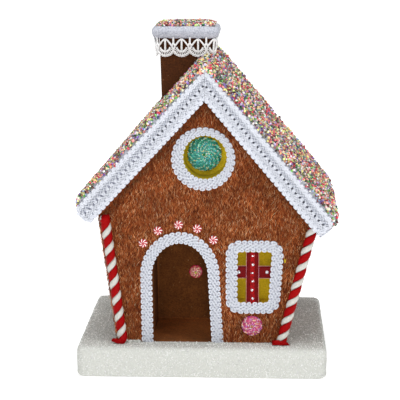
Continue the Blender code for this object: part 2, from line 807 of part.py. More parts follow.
def build_band():
    """The bulging white band round the chimney's top."""
    height = CHIMNEY_TOP_Z - BAND_BOTTOM_Z
    bulge_steps = 4
    rings = [level_ring(BAND_BOTTOM_Z, GAP)]
    for i in range(bulge_steps + 1):
        turn = math.pi * i / bulge_steps
        out = BAND_BULGE * (0.45 + 0.55 * math.sin(turn))
        rings.append(level_ring(CHIMNEY_TOP_Z - height * (1 + math.cos(turn)) / 2, out, LACE_CORNER))
    rings.append(level_ring(CHIMNEY_TOP_Z, GAP))
    loft("chimney_band", "white_braid", rings, closed=True)


def build_lace():
    """A scalloped skirt that hangs from the band, clear of the chimney."""
    count = LACE_SCALLOPS * LACE_STATIONS
    top_z = BAND_BOTTOM_Z - GAP
    line = chimney_outline(top_z, 0.0, CHIMNEY_CORNER)
    rings = []
    for i, (spot, side) in enumerate(resampled(line, count, True)):
        rise = LACE_SCALLOP * (1 - abs(math.sin(math.pi * i / LACE_STATIONS)))
        low_z = top_z - LACE_HEIGHT + rise

        def place(out, z):
            where = spot + side * out
            return (where.x, where.y, z)

        rings.append(
            [
                place(LACE_TOP_OUT, top_z),
                place(LACE_LOW_OUT, low_z),
                place(LACE_LOW_OUT - LACE_THICK, low_z),
                place(LACE_TOP_OUT - LACE_THICK, top_z),
            ]
        )
    lace = loft("chimney_lace", "white_braid", rings, closed=True)
    cut(lace, slope)


def build_heap():
    """The sprinkles heaped on the chimney's top."""
    bottom = CHIMNEY_TOP_Z + GAP
    spread = BAND_BULGE * 0.45 - GAP
    steps = ((0, spread), (0.45, spread), (0.85, spread - HEAP_INSET), (1.0, spread - 3 * HEAP_INSET))
    rings = [level_ring(bottom + HEAP_HEIGHT * up, out, LACE_CORNER) for up, out in steps]
    heap = loft("chimney_sprinkles", "sprinkled", rings)
    rng = random.Random(SEED + 1)
    bits = new_collection("heap grains")
    across = CHIMNEY_WIDTH / 2 - 3 * HEAP_INSET
    deep = CHIMNEY_DEPTH / 2 - 3 * HEAP_INSET
    placed = []
    while len(placed) < CHIMNEY_SPRINKLES:
        x = CHIMNEY_X + rng.uniform(-across, across)
        spot = Vector((x, CHIMNEY_Y + rng.uniform(-deep, deep), bottom + HEAP_HEIGHT))
        if any((spot - other).length < SPRINKLE_APART * 0.6 for other in placed):
            continue
        placed.append(spot)
        sprinkle(spot, Vector((0, 0, 1)), rng, bits)
    fuse(heap, bits)


clear_scene()
house = new_collection("gingerbread house")
cutters = new_collection("cutters")
looks = make_materials()
build_base()
build_walls()
build_linings()
build_roof()
build_braids()
build_sweets()
build_window_cross()
build_cords()
slope = slope_cutter()
build_chimney()
build_band()
build_lace()
build_heap()
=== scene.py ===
# Gingerbread house table decoration: plush walls, a roof of candy flakes, white braids, felt,
# sweets and twisted satin cords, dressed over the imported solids. Metres, front towards -Y.
import math
import random

import bmesh
import bpy
import numpy as np
from mathutils import Matrix, Vector, noise


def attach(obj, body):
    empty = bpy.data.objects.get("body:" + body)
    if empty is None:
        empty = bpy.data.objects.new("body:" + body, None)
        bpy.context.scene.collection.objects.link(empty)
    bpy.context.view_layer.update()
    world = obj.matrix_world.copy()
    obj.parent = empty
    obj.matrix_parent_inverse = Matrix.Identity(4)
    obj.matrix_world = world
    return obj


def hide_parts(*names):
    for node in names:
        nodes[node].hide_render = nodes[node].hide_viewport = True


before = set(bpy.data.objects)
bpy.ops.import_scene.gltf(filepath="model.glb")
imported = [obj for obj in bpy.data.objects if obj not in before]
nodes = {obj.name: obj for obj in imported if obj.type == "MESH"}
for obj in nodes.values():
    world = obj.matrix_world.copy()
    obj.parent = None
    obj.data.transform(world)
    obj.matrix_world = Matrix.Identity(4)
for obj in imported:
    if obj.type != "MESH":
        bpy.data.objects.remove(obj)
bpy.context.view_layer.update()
front = Vector((0, -1, 0))
up = Vector((0, 0, 1))
mm = 0.001


# Small tools


def rgb(red, green, blue):  # screen colour to the linear colour that shaders use
    return tuple(((c / 255 + 0.055) / 1.055) ** 2.4 if c > 10 else c / 255 / 12.92 for c in (red, green, blue))


def meshOf(bm, name, smooth=False):
    bmesh.ops.recalc_face_normals(bm, faces=bm.faces)
    for face in bm.faces:
        face.smooth = smooth
    mesh = bpy.data.meshes.new(name)
    bm.to_mesh(mesh)
    bm.free()
    return mesh


def showPiece(name, mesh, slot, replaced=()):
    piece = bpy.data.objects.new(name, mesh)
    bpy.context.scene.collection.objects.link(piece)
    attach(piece, "root")
    if replaced:
        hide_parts(*replaced)
    return piece


def gathered(name, parts):  # one mesh from several, each with its own material
    bm = bmesh.new()
    looks = []
    for mesh, look in parts:
        if look not in looks:
            looks.append(look)
        first = len(bm.faces)
        bm.from_mesh(mesh)
        bm.faces.ensure_lookup_table()
        for face in bm.faces[first:]:
            face.material_index = looks.index(look)
        bpy.data.meshes.remove(mesh)
    joined = bpy.data.meshes.new(name)
    bm.to_mesh(joined)
    bm.free()
    for look in looks:
        joined.materials.append(look)
    return joined


def tubes(name, lines, radius, roundness=1, closed=False, radii=None):  # round cords along lines of points
    curve = bpy.data.curves.new(name, "CURVE")
    curve.dimensions = "3D"
    curve.use_fill_caps = True
    curve.bevel_depth = radius
    curve.bevel_resolution = roundness
    for line in lines:
        spline = curve.splines.new("POLY")
        spline.points.add(len(line) - 1)
        spline.points.foreach_set("co", [c for point in line for c in (*point, 1.0)])
        if radii:
            spline.points.foreach_set("radius", radii)
        spline.use_cyclic_u = closed
    holder = bpy.data.objects.new(name, curve)
    bpy.context.scene.collection.objects.link(holder)
    bpy.context.view_layer.update()
    bm = bmesh.new()
    bm.from_mesh(bpy.data.meshes.new_from_object(holder.evaluated_get(bpy.context.evaluated_depsgraph_get())))
    bmesh.ops.remove_doubles(bm, verts=bm.verts, dist=0.002 * mm)
    bpy.data.objects.remove(holder)
    return meshOf(bm, name, smooth=True)


def lofted(name, rings, closed=False, smooth=True):  # a skin through rings of equal count
    bm = bmesh.new()
    rows = []
    for ring in rings:
        verts = [bm.verts.new(point) for point in ring]
        rows.append([bm.edges.new((verts[i - 1], verts[i])) for i in range(len(verts))])
    if not closed:
        for row in (rows[0], rows[-1]):
            bmesh.ops.contextual_create(bm, geom=row)
    pairs = list(zip(rows, rows[1:])) + ([(rows[-1], rows[0])] if closed else [])
    for near, far in pairs:
        bmesh.ops.bridge_loops(bm, edges=near + far)
    return meshOf(bm, name, smooth)


def grown(shapes, places):  # joins copies of a few small shapes; places: (shape, matrix, tint)
    points, loops, counts, tints = [], [], [], []
    offset = 0
    for index, shape in enumerate(shapes):
        chosen = [place for place in places if place[0] == index]
        if not chosen:
            continue
        corners = np.array([(*v.co, 1.0) for v in shape.vertices])
        matrices = np.array([matrix for _, matrix, _ in chosen])
        moved = np.einsum("kij,nj->kni", matrices, corners)[:, :, :3].reshape(-1, 3)
        faces = [list(polygon.vertices) for polygon in shape.polygons]
        flat = np.array([v for face in faces for v in face])
        starts = offset + np.arange(len(chosen))[:, None] * len(corners)
        loops.append((flat[None, :] + starts).ravel())
        counts.append(np.tile([len(face) for face in faces], len(chosen)))
        points.append(moved)
        tints.append(np.repeat(np.array([(*tint, 1.0) for _, _, tint in chosen]), len(corners), axis=0))
        offset += len(moved)
    points, loops, counts, tints = (np.concatenate(part) for part in (points, loops, counts, tints))
    mesh = bpy.data.meshes.new("grown")
    mesh.vertices.add(len(points))
    mesh.vertices.foreach_set("co", points.ravel())
    mesh.loops.add(len(loops))
    mesh.loops.foreach_set("vertex_index", loops)
    mesh.polygons.add(len(counts))
    mesh.polygons.foreach_set("loop_start", np.concatenate([[0], np.cumsum(counts)[:-1]]))
    mesh.update(calc_edges=True)
    mesh.color_attributes.new("tint", "FLOAT_COLOR", "POINT").data.foreach_set("color", tints.ravel())
    return mesh


def standing(place, side, out, along, size):  # matrix whose axes are side, out and along, scaled
    columns = [(*(axis * scale), 0.0) for axis, scale in zip((side, out, along), size)]
    return Matrix(columns + [(*place, 1.0)]).transposed()


def randomTurn(rng, normal, tilt):  # a frame that leans from a normal by up to tilt
    lean = (normal + Vector([rng.uniform(-tilt, tilt) for _ in range(3)])).normalized()
    side = lean.orthogonal().normalized()
    side.rotate(Matrix.Rotation(rng.uniform(0, math.tau), 3, lean))
    return side, lean.cross(side), lean


# Shader tools


def startLook(name, colour, roughness, **values):
    look = bpy.data.materials.new(name)
    look.use_nodes = True
    tree = look.node_tree
    shader = tree.nodes["Principled BSDF"]
    shader.inputs["Base Color"].default_value = (*colour, 1.0)
    shader.inputs["Roughness"].default_value = roughness
    for socket, value in values.items():
        shader.inputs[socket.replace("_", " ")].default_value = value
    return look, tree, shader


def addNode(tree, kind, inputs=None, **settings):
    node = tree.nodes.new("ShaderNode" + kind)
    for key, value in settings.items():
        setattr(node, key, value)
    for socket, value in (inputs or {}).items():
        if isinstance(value, bpy.types.NodeSocket):
            tree.links.new(value, node.inputs[socket])
        else:
            node.inputs[socket].default_value = value
    return node


def newGroup(name, inputs, outputs):
    group = bpy.data.node_groups.new(name, "ShaderNodeTree")
    for label, kind, value in inputs:
        socket = group.interface.new_socket(label, in_out="INPUT", socket_type="NodeSocket" + kind)
        socket.default_value = value
    for label, kind in outputs:
        group.interface.new_socket(label, in_out="OUTPUT", socket_type="NodeSocket" + kind)
    return group, group.nodes.new("NodeGroupInput"), group.nodes.new("NodeGroupOutput")


def useGroup(tree, group, **values):
    node = tree.nodes.new("ShaderNodeGroup")
    node.node_tree = group
    for socket, value in values.items():
        node.inputs[socket].default_value = value
    return node


def bumped(tree, shader, height, strength, distance):
    bump = addNode(tree, "Bump", {"Height": height, "Strength": strength, "Distance": distance})
    tree.links.new(bump.outputs["Normal"], shader.inputs["Normal"])
    return bump


def blended(tree, share, low, high, way="MIX"):  # two colours into one
    return addNode(tree, "Mix", {"Factor": share, 6: low, 7: high}, data_type="RGBA", blend_type=way).outputs[2]


def makeFibreGroup():  # soft mottling in two colours, with its height
    group, given, result = newGroup(
        "fibreMottle",
        [("Scale", "Float", 500.0), ("Stretch", "Vector", (1, 1, 1)), ("Dark", "Color", (0, 0, 0, 1)),
         ("Light", "Color", (1, 1, 1, 1)), ("Detail", "Float", 4.0)],
        [("Color", "Color"), ("Height", "Float")],
    )
    where = addNode(group, "TexCoord")
    drawn = addNode(group, "VectorMath", {0: where.outputs["Object"], 1: given.outputs["Stretch"]},
                    operation="MULTIPLY")
    cloud = addNode(group, "TexNoise", {"Vector": drawn.outputs[0], "Scale": given.outputs["Scale"],
                                        "Detail": given.outputs["Detail"], "Roughness": 0.65})
    share = addNode(group, "MapRange", {"Value": cloud.outputs["Fac"], "From Min": 0.32, "From Max": 0.68})
    colour = blended(group, share.outputs["Result"], given.outputs["Dark"], given.outputs["Light"])
    group.links.new(colour, result.inputs["Color"])
    group.links.new(cloud.outputs["Fac"], result.inputs["Height"])
    return group


def makeGlintGroup():  # scattered specks that each face their own way
    group, given, result = newGroup(
        "glints",
        [("Scale", "Float", 900.0), ("Share", "Float", 0.2), ("Lean", "Float", 0.8)],
        [("Mask", "Float"), ("Speck", "Color"), ("Normal", "Vector")],
    )
    where = addNode(group, "TexCoord")
    cells = addNode(group, "TexVoronoi", {"Vector": where.outputs["Object"], "Scale": given.outputs["Scale"]})
    centred = addNode(group, "VectorMath", {0: cells.outputs["Color"], 1: (0.5, 0.5, 0.5)}, operation="SUBTRACT")
    leaned = addNode(group, "VectorMath", {0: centred.outputs[0]}, operation="SCALE")
    group.links.new(given.outputs["Lean"], leaned.inputs["Scale"])
    surface = addNode(group, "NewGeometry")
    summed = addNode(group, "VectorMath", {0: surface.outputs["Normal"], 1: leaned.outputs[0]}, operation="ADD")
    unit = addNode(group, "VectorMath", {0: summed.outputs[0]}, operation="NORMALIZE")
    parts = addNode(group, "SeparateColor", {"Color": cells.outputs["Color"]})
    chosen = addNode(group, "Math", {0: parts.outputs["Red"], 1: given.outputs["Share"]}, operation="LESS_THAN")
    group.links.new(chosen.outputs[0], result.inputs["Mask"])
    group.links.new(cells.outputs["Color"], result.inputs["Speck"])
    group.links.new(unit.outputs[0], result.inputs["Normal"])
    return group


def makeKnitGroup():  # rows of tiny stitches on object coordinates
    group, given, result = newGroup("fineKnit", [("Scale", "Float", 1100.0)], [("Height", "Float")])
    where = addNode(group, "TexCoord")
    cells = addNode(group, "TexVoronoi", {"Vector": where.outputs["Object"], "Scale": given.outputs["Scale"],
                                          "Randomness": 0.7}, feature="SMOOTH_F1")
    group.links.new(cells.outputs["Distance"], result.inputs["Height"])
    return group


print("looks")
fibreMottle = makeFibreGroup()
glints = makeGlintGroup()
fineKnit = makeKnitGroup()


paintedDoorwayLightRamps = {  # painted light and shade in the doorway felt: axis, where a ramp starts and ends, and the strengths there
    "wall": (("X", -0.046, -0.034, 0.80, 1.0), ("X", -0.011, 0.002, 1.0, 0.80),
             ("X", -0.0448, -0.0440, 1.55, 1.0), ("Z", 0.031, 0.060, 1.05, 1.0)),
    "floor": (("Y", -0.066, -0.040, 1.0, 1.95), ("Y", -0.040, 0.0, 1.0, 1.3)),
    "lowest": (("Z", 0.0284, 0.0286, 1.0, 0.0),),
}


def paintedDoorwayLight(tree):  # painted light and shade: a strength by position that scales the doorway felt's colour to even out the light in the doorway
    where = addNode(tree, "TexCoord")
    split = addNode(tree, "SeparateXYZ", {"Vector": where.outputs["Object"]})

    def product(part):
        total = None
        for axis, start, end, low, high in paintedDoorwayLightRamps[part]:
            ramp = addNode(tree, "MapRange", {"Value": split.outputs[axis], "From Min": start, "From Max": end,
                                              "To Min": low, "To Max": high}).outputs["Result"]
            if total is None:
                total = ramp
            else:
                total = addNode(tree, "Math", {0: total, 1: ramp}, operation="MULTIPLY").outputs[0]
        return total

    return addNode(tree, "Mix", {"Factor": product("lowest"), 2: product("wall"), 3: product("floor")},
                   data_type="FLOAT").outputs[0]


def feltLook(name, dark, light, scale=900.0, specks=0.0, paintDoorwayLight=False):
    look, tree, shader = startLook(name, light, 0.95, Specular_IOR_Level=0.2)
    felt = useGroup(tree, fibreMottle, Scale=scale, Dark=(*dark, 1), Light=(*light, 1), Detail=6.0)
    broad = useGroup(tree, fibreMottle, Scale=60.0, Dark=(0.72, 0.72, 0.72, 1), Light=(1.1, 1.1, 1.1, 1))
    colour = blended(tree, 1.0, felt.outputs["Color"], broad.outputs["Color"], "MULTIPLY")
    # painted light and shade: the doorway felt's colour is brightened and darkened by position
    if paintDoorwayLight:
        paintedLight = addNode(tree, "VectorMath", {0: colour}, operation="SCALE")
        tree.links.new(paintedDoorwayLight(tree), paintedLight.inputs["Scale"])
        colour = paintedLight.outputs["Vector"]
    if specks:
        spark = useGroup(tree, glints, Scale=1300.0, Share=specks)
        colour = blended(tree, spark.outputs["Mask"], colour, (*rgb(150, 116, 80), 1))
    tree.links.new(colour, shader.inputs["Base Color"])
    bumped(tree, shader, felt.outputs["Height"], 0.6, 0.5 * mm)
    return look


def yarnLook(name, dark, light, scale=1500.0, roughness=0.75):
    look, tree, shader = startLook(name, light, roughness, Sheen_Weight=0.15)
    fibre = useGroup(tree, fibreMottle, Scale=scale, Dark=(*dark, 1), Light=(*light, 1), Detail=3.0)
    tree.links.new(fibre.outputs["Color"], shader.inputs["Base Color"])
    bumped(tree, shader, fibre.outputs["Height"], 0.5, 0.3 * mm)
    return look


def tintedLook(name, roughness, bumpScale, bumpDepth, glow=0.0, **values):  # coloured by the tints
    look, tree, shader = startLook(name, (0.5, 0.5, 0.5), roughness, **values)
    tint = addNode(tree, "VertexColor", layer_name="tint")
    wear = useGroup(tree, fibreMottle, Scale=bumpScale, Dark=(0.78, 0.78, 0.78, 1), Light=(1.08, 1.08, 1.08, 1))
    colour = blended(tree, 1.0, tint.outputs["Color"], wear.outputs["Color"], "MULTIPLY")
    tree.links.new(colour, shader.inputs["Base Color"])
    if glow:  # painted light: the grains glow in their own colour, standing in for the glints of glitter in a dim place
        tree.links.new(colour, shader.inputs["Emission Color"])
        shader.inputs["Emission Strength"].default_value = glow
    bumped(tree, shader, wear.outputs["Height"], 0.4, bumpDepth)
    return look


def snowLook():
    look, tree, shader = startLook("glittered snow fabric", rgb(226, 228, 222), 0.8)
    cloth = useGroup(tree, fibreMottle, Scale=1100.0, Stretch=(1, 1, 0.35), Dark=(*rgb(176, 178, 172), 1),
                     Light=(*rgb(196, 197, 191), 1), Detail=5.0)
    spark = useGroup(tree, glints, Scale=1250.0, Share=0.13, Lean=1.3)
    frosted = blended(tree, spark.outputs["Mask"], cloth.outputs["Color"], (0.72, 0.72, 0.71, 1))
    tree.links.new(frosted, shader.inputs["Base Color"])
    gloss = addNode(tree, "MapRange", {"Value": spark.outputs["Mask"], "To Min": 0.85, "To Max": 0.32})
    tree.links.new(gloss.outputs["Result"], shader.inputs["Roughness"])
    bump = bumped(tree, shader, cloth.outputs["Height"], 0.3, 0.4 * mm)
    faced = addNode(tree, "Mix", {"Factor": spark.outputs["Mask"], 4: bump.outputs["Normal"],
                                  5: spark.outputs["Normal"]}, data_type="VECTOR")
    tree.links.new(faced.outputs[1], shader.inputs["Normal"])
    return look


def glitterLook(name, dark, light):
    look, tree, shader = startLook(name, light, 0.35, Coat_Weight=0.3, Coat_Roughness=0.2)
    base = useGroup(tree, fibreMottle, Scale=500.0, Dark=(*dark, 1), Light=(*light, 1))
    spark = useGroup(tree, glints, Scale=1400.0, Share=0.1, Lean=1.2)
    colour = blended(tree, spark.outputs["Mask"], base.outputs["Color"], spark.outputs["Speck"], "SCREEN")
    tree.links.new(colour, shader.inputs["Base Color"])
    tree.links.new(spark.outputs["Normal"], shader.inputs["Normal"])
    return look


def borderLook():  # white knitted cloth that wraps the roof, with painted shade in its stitch crevices
    look, tree, shader = startLook("knitted border", rgb(210, 213, 221), 0.85)
    knit = useGroup(tree, fineKnit, Scale=860.0)
    fold = useGroup(tree, fibreMottle, Scale=130.0, Dark=(0.93, 0.94, 0.96, 1), Light=(1, 1, 1, 1))
    # painted shade: the stitches' crevices get a darker grey
    creviceDepthAndShade = addNode(tree, "MapRange", {"Value": knit.outputs["Height"], "From Min": 0.30, "From Max": 0.62})
    stitchAndShade = blended(tree, creviceDepthAndShade.outputs["Result"], (*rgb(184, 186, 194), 1), (*rgb(148, 151, 162), 1))
    colour = blended(tree, 1.0, stitchAndShade, fold.outputs["Color"], "MULTIPLY")
    tree.links.new(colour, shader.inputs["Base Color"])
    bumped(tree, shader, creviceDepthAndShade.outputs["Result"], -0.8, 0.6 * mm)
    return look


def satinLook(name, dark, light, scale=2500.0, shine=0.3):
    look, tree, shader = startLook(name, light, 0.5, Specular_IOR_Level=shine)
    thread = useGroup(tree, fibreMottle, Scale=scale, Dark=(*dark, 1), Light=(*light, 1), Detail=2.0)
    tree.links.new(thread.outputs["Color"], shader.inputs["Base Color"])
    bumped(tree, shader, thread.outputs["Height"], 0.35, 0.2 * mm)
    return look


def mintLook():  # seven curved red arms on white sugar, from the piece's own UV
    look, tree, shader = startLook("peppermint", rgb(240, 236, 232), 0.35, Coat_Weight=0.2, Coat_Roughness=0.2)
    where = addNode(tree, "UVMap")
    split = addNode(tree, "SeparateXYZ", {"Vector": where.outputs["UV"]})
    angle = addNode(tree, "Math", {0: split.outputs["Y"], 1: split.outputs["X"]}, operation="ARCTAN2")
    reach = addNode(tree, "VectorMath", {0: where.outputs["UV"]}, operation="LENGTH")
    swirl = addNode(tree, "Math", {0: reach.outputs["Value"], 1: 0.6, 2: angle.outputs[0]},
                    operation="MULTIPLY_ADD")
    arms = addNode(tree, "Math", {0: swirl.outputs[0], 1: 7.0}, operation="MULTIPLY")
    wave = addNode(tree, "Math", {0: arms.outputs[0]}, operation="SINE")
    edge = addNode(tree, "MapRange", {"Value": wave.outputs[0], "From Min": -0.62, "From Max": -0.4})
    heart = addNode(tree, "MapRange", {"Value": reach.outputs["Value"], "From Min": 0.34, "From Max": 0.24})
    red = addNode(tree, "Math", {0: edge.outputs["Result"], 1: heart.outputs["Result"]}, operation="MAXIMUM")
    colour = blended(tree, red.outputs[0], (*rgb(242, 238, 234), 1), (*rgb(166, 6, 30), 1))
    tree.links.new(colour, shader.inputs["Base Color"])
    return look


snowFabric = snowLook()
snowGlitter, _, _ = startLook("snow glitter", rgb(250, 250, 247), 0.3, Coat_Weight=0.5, Coat_Roughness=0.15)
brownFelt = feltLook("chocolate felt", rgb(52, 25, 8), rgb(86, 46, 18), specks=0.0012)
doorFelt = feltLook("doorway felt", rgb(92, 50, 21), rgb(140, 83, 38), specks=0.004, paintDoorwayLight=True)
oliveFelt = feltLook("olive felt", rgb(176, 150, 14), rgb(218, 194, 46))
# painted light: a brighter, yellower copy of the olive felt lines the square window's recess
paintedLightOliveFelt = feltLook("olive felt painted brighter for the square window", rgb(190, 158, 12), rgb(232, 202, 46))
braidYarn = yarnLook("braid yarn", rgb(176, 180, 190), rgb(216, 218, 225))
# painted shade: the braids' ground is darker and bluer than the yarn, for the shade between the yarns
braidGroundPaintedShade = yarnLook("braid ground, darkened as painted shade between the yarns", rgb(128, 132, 146), rgb(184, 188, 199), scale=900.0)
braidShade = yarnLook("painted shade behind the holes", rgb(40, 42, 52), rgb(70, 72, 84))
braidFaintShade = yarnLook("fainter painted shade in the half closed holes", rgb(96, 98, 112), rgb(140, 143, 158))
# painted shade: a darker pink-brown ground where gaps between the flakes show
flakeGroundShade = feltLook("darker ground between the flakes, as painted shade", rgb(150, 90, 84), rgb(220, 176, 150), scale=700.0)
laceCotton = yarnLook("lace cotton", rgb(214, 214, 214), rgb(240, 240, 240))
knitBorder = borderLook()
plushSkin = feltLook("plush ground", rgb(78, 30, 10), rgb(146, 72, 32), scale=450.0)
plushHair = tintedLook("plush hair", 0.75, 400.0, 0.1 * mm, Specular_IOR_Level=0.12)
candyFlake = tintedLook("candy flakes", 0.3, 900.0, 0.15 * mm, Coat_Weight=0.35, Coat_Roughness=0.2)
# painted light: the doorway candy's grains glow a little
paintedGlowGlitter = tintedLook("glitter grains in the doorway, glowing as painted light", 0.2, 2000.0, 0.05 * mm, glow=0.34, Coat_Weight=0.6)
glitterFlake = tintedLook("glitter grains", 0.2, 2000.0, 0.05 * mm, Coat_Weight=0.6, Coat_Roughness=0.1)
tealSugar = glitterLook("teal sugar", rgb(10, 104, 94), rgb(34, 156, 138))
pinkSugar = glitterLook("pink sugar", rgb(140, 16, 66), rgb(190, 50, 100))
coralSugar = glitterLook("coral sugar", rgb(232, 84, 110), rgb(255, 160, 150))
greenShell = yarnLook("green bead", rgb(10, 96, 40), rgb(24, 132, 58), roughness=0.25)
copperShell = yarnLook("copper bead", rgb(120, 60, 44), rgb(176, 104, 70), roughness=0.25)
pearlShell = yarnLook("pearl", rgb(206, 206, 60), rgb(240, 236, 120), roughness=0.2)
redSatin = satinLook("red satin cord", rgb(110, 1, 4), rgb(166, 6, 8), shine=0.05)
whiteSatin = satinLook("white satin cord", rgb(172, 170, 163), rgb(202, 200, 194))
ribbonSatin = satinLook("red ribbon", rgb(70, 0, 2), rgb(114, 0, 5), scale=1600.0, shine=0.08)
# painted highlight: a brighter red for the upright ribbon's middle
ribbonPaintedHighlight = satinLook("red ribbon's painted highlight", rgb(92, 0, 4), rgb(166, 3, 9), scale=500.0, shine=0.1)
picotThread = yarnLook("picot thread", rgb(196, 96, 118), rgb(234, 164, 178))
sugarMint = mintLook()
stoneGlass, _, _ = startLook("rhinestone", (0.86, 0.90, 0.95), 0.06, Metallic=0.85, Coat_Weight=0.5)
stoneClaw, _, _ = startLook("silver claw", (0.72, 0.72, 0.74), 0.3, Metallic=0.9)


# Roof geometry, as the solids have it

frontGable = {"y": -0.088, "apexX": 0.0027, "apexZ": 0.2498, "left": 47.2, "right": 49.9,
              "leftRun": 0.1485, "rightRun": 0.1568}
backGable = {"y": 0.0885, "apexX": 0.0046, "apexZ": 0.2529, "left": 49.5, "right": 49.9,
             "leftRun": 0.1470, "rightRun": 0.1530}
roofSizes = {"thick": 0.0223, "rim": 0.0050, "ridgeRound": 0.013, "leftRound": 0.009, "rightRound": 0.007,
             "lowRound": 0.003, "swell": 0.0036, "roundSteps": 7, "stations": 30}


def mixed(start, end, share):
    return start + (end - start) * share


def gableAt(y):
    share = (y - frontGable["y"]) / (backGable["y"] - frontGable["y"])
    gable = {key: mixed(frontGable[key], backGable[key], share) for key in frontGable}
    gable["rightRun"] += roofSizes["swell"] * math.sqrt(max(0.0, 4 * share * (1 - share)))
    return gable


def slopePoint(gable, side, run, rise):
    pitch = math.radians(gable["left"] if side < 0 else gable["right"])
    x = gable["apexX"] + side * (run * math.cos(pitch) + rise * math.sin(pitch))
    return Vector((x, gable["apexZ"] - run * math.sin(pitch) + rise * math.cos(pitch)))


def ridgePoint(gable, rise):
    left, right = slopePoint(gable, -1, 0, rise), slopePoint(gable, 1, 0, rise)
    leftSlope, rightSlope = math.tan(math.radians(gable["left"])), math.tan(math.radians(gable["right"]))
    x = (right.y - left.y + leftSlope * left.x + rightSlope * right.x) / (leftSlope + rightSlope)
    return Vector((x, left.y + leftSlope * (x - left.x)))


def roundedOutline(corners, steps):
    outline = []
    for i, (corner, radius) in enumerate(corners):
        if radius <= 0:
            outline.append(corner.copy())
            continue
        back = (corners[i - 1][0] - corner).normalized()
        ahead = (corners[(i + 1) % len(corners)][0] - corner).normalized()
        half = back.angle(ahead) / 2
        centre = corner + (back + ahead).normalized() * radius / math.sin(half)
        start = corner + back * radius / math.tan(half) - centre
        end = corner + ahead * radius / math.tan(half) - centre
        outline += [centre + start.lerp(end, s / steps).normalized() * radius for s in range(steps + 1)]
    return outline


def roofOutline(y, inset=0.0):
    gable = gableAt(y)
    top = roofSizes["thick"] - inset
    leftRun, rightRun = gable["leftRun"] - inset, gable["rightRun"] - inset
    steps = roofSizes["roundSteps"]
    return roundedOutline([
        (slopePoint(gable, -1, leftRun, 0), roofSizes["lowRound"]),
        (slopePoint(gable, -1, leftRun, top), roofSizes["leftRound"]),
        (ridgePoint(gable, top), roofSizes["ridgeRound"]),
        (slopePoint(gable, 1, rightRun, top), roofSizes["rightRound"]),
        (slopePoint(gable, 1, rightRun, 0), roofSizes["lowRound"]),
        (Vector((gable["apexX"], gable["apexZ"])), 0.0),
    ], steps)


def atDepth(outline, y):
    return [Vector((p.x, y, p.y)) for p in outline]


# Outlines of the openings, along the middle of their braids

doorSizes = {"leftFoot": -0.0493, "rightFoot": 0.0141, "leftSpring": -0.0503, "rightSpring": 0.0105,
             "springZ": 0.090, "topZ": 0.1238, "footZ": 0.0273, "braidRise": 1.0 * mm}
windowSizes = {"x": 0.0473, "z": 0.0885, "halfWidth": 0.0206, "halfHeight": 0.0279, "corner": 0.007,
               "nudges": {(-1, -1): (0, 0), (-1, 1): (0, 1.0), (1, 1): (0.4, 1.2), (1, -1): (-3.2, 0.2)}}  # mm
roundSizes = {"x": 0.0018, "z": 0.1971, "radius": 0.0239, "reach": 4.1 * mm, "lean": Vector((0.8, 0, 0.8)) * mm,
              "openX": 0.0026, "openZ": 0.1979, "openRadius": 0.0206}
wallSizes = {"front": -0.0745, "back": 0.0745, "leftFoot": -0.0764, "rightFoot": 0.0750,
             "leftLean": 0.143, "rightLean": 0.243, "bottom": 0.0273}


def doorPath():
    d = doorSizes
    middle, half = (d["leftSpring"] + d["rightSpring"]) / 2, (d["rightSpring"] - d["leftSpring"]) / 2
    rise = d["topZ"] + d["braidRise"] - d["springZ"]
    arch = [Vector((middle - half * math.cos(t), d["springZ"] + rise * math.sin(t)))
            for t in np.linspace(0, math.pi, 60)]
    return [Vector((d["leftFoot"], d["footZ"]))] + arch + [Vector((d["rightFoot"], d["footZ"]))]


def windowPath():
    w = windowSizes
    corners = []
    for (a, b), nudge in w["nudges"].items():
        corner = Vector((w["x"] + a * w["halfWidth"], w["z"] + b * w["halfHeight"])) + Vector(nudge) * mm
        corners.append((corner, w["corner"]))
    return roundedOutline(corners, 10)


def roundPath():
    r = roundSizes
    return [Vector((r["x"] + r["radius"] * math.cos(t), r["z"] + r["radius"] * math.sin(t)))
            for t in np.linspace(0, -math.tau, 72, endpoint=False)]


def follower(points, out, closed=False):  # place and sideways direction at a distance along a line
    line = np.array([tuple(p) for p in points])
    if closed:
        line = np.vstack([line, line[:1]])
    reach = np.concatenate([[0], np.cumsum(np.linalg.norm(np.diff(line, axis=0), axis=1))])

    def spot(distance):
        if closed:
            distance = distance % reach[-1]
        return Vector([np.interp(distance, reach, line[:, axis]) for axis in range(3)])

    def at(distance):
        step = 0.4 * mm
        if closed:
            ahead = spot(distance + step) - spot(distance - step)
        else:
            ahead = spot(min(distance + step, reach[-1])) - spot(max(distance - step, 0.0))
        return spot(distance), out.cross(ahead.normalized()).normalized()

    return at, reach[-1]


# Base slab

baseSizes = {"width": 0.225, "depth": 0.1916, "height": 0.0283, "corner": 0.008, "edge": 0.0045,
             "lump": 0.35 * mm, "lumpScale": 90.0, "crumbs": 90, "glitter": 3600, "bare": 2 * mm,
             "glitterSize": (0.45 * mm, 0.95 * mm), "tuftSize": (0.6 * mm, 1.7 * mm), "tuftsAt": (-0.070, -0.056),
             "crumbSize": (0.3 * mm, 0.8 * mm), "crumbsAt": (-0.070, 0.072)}


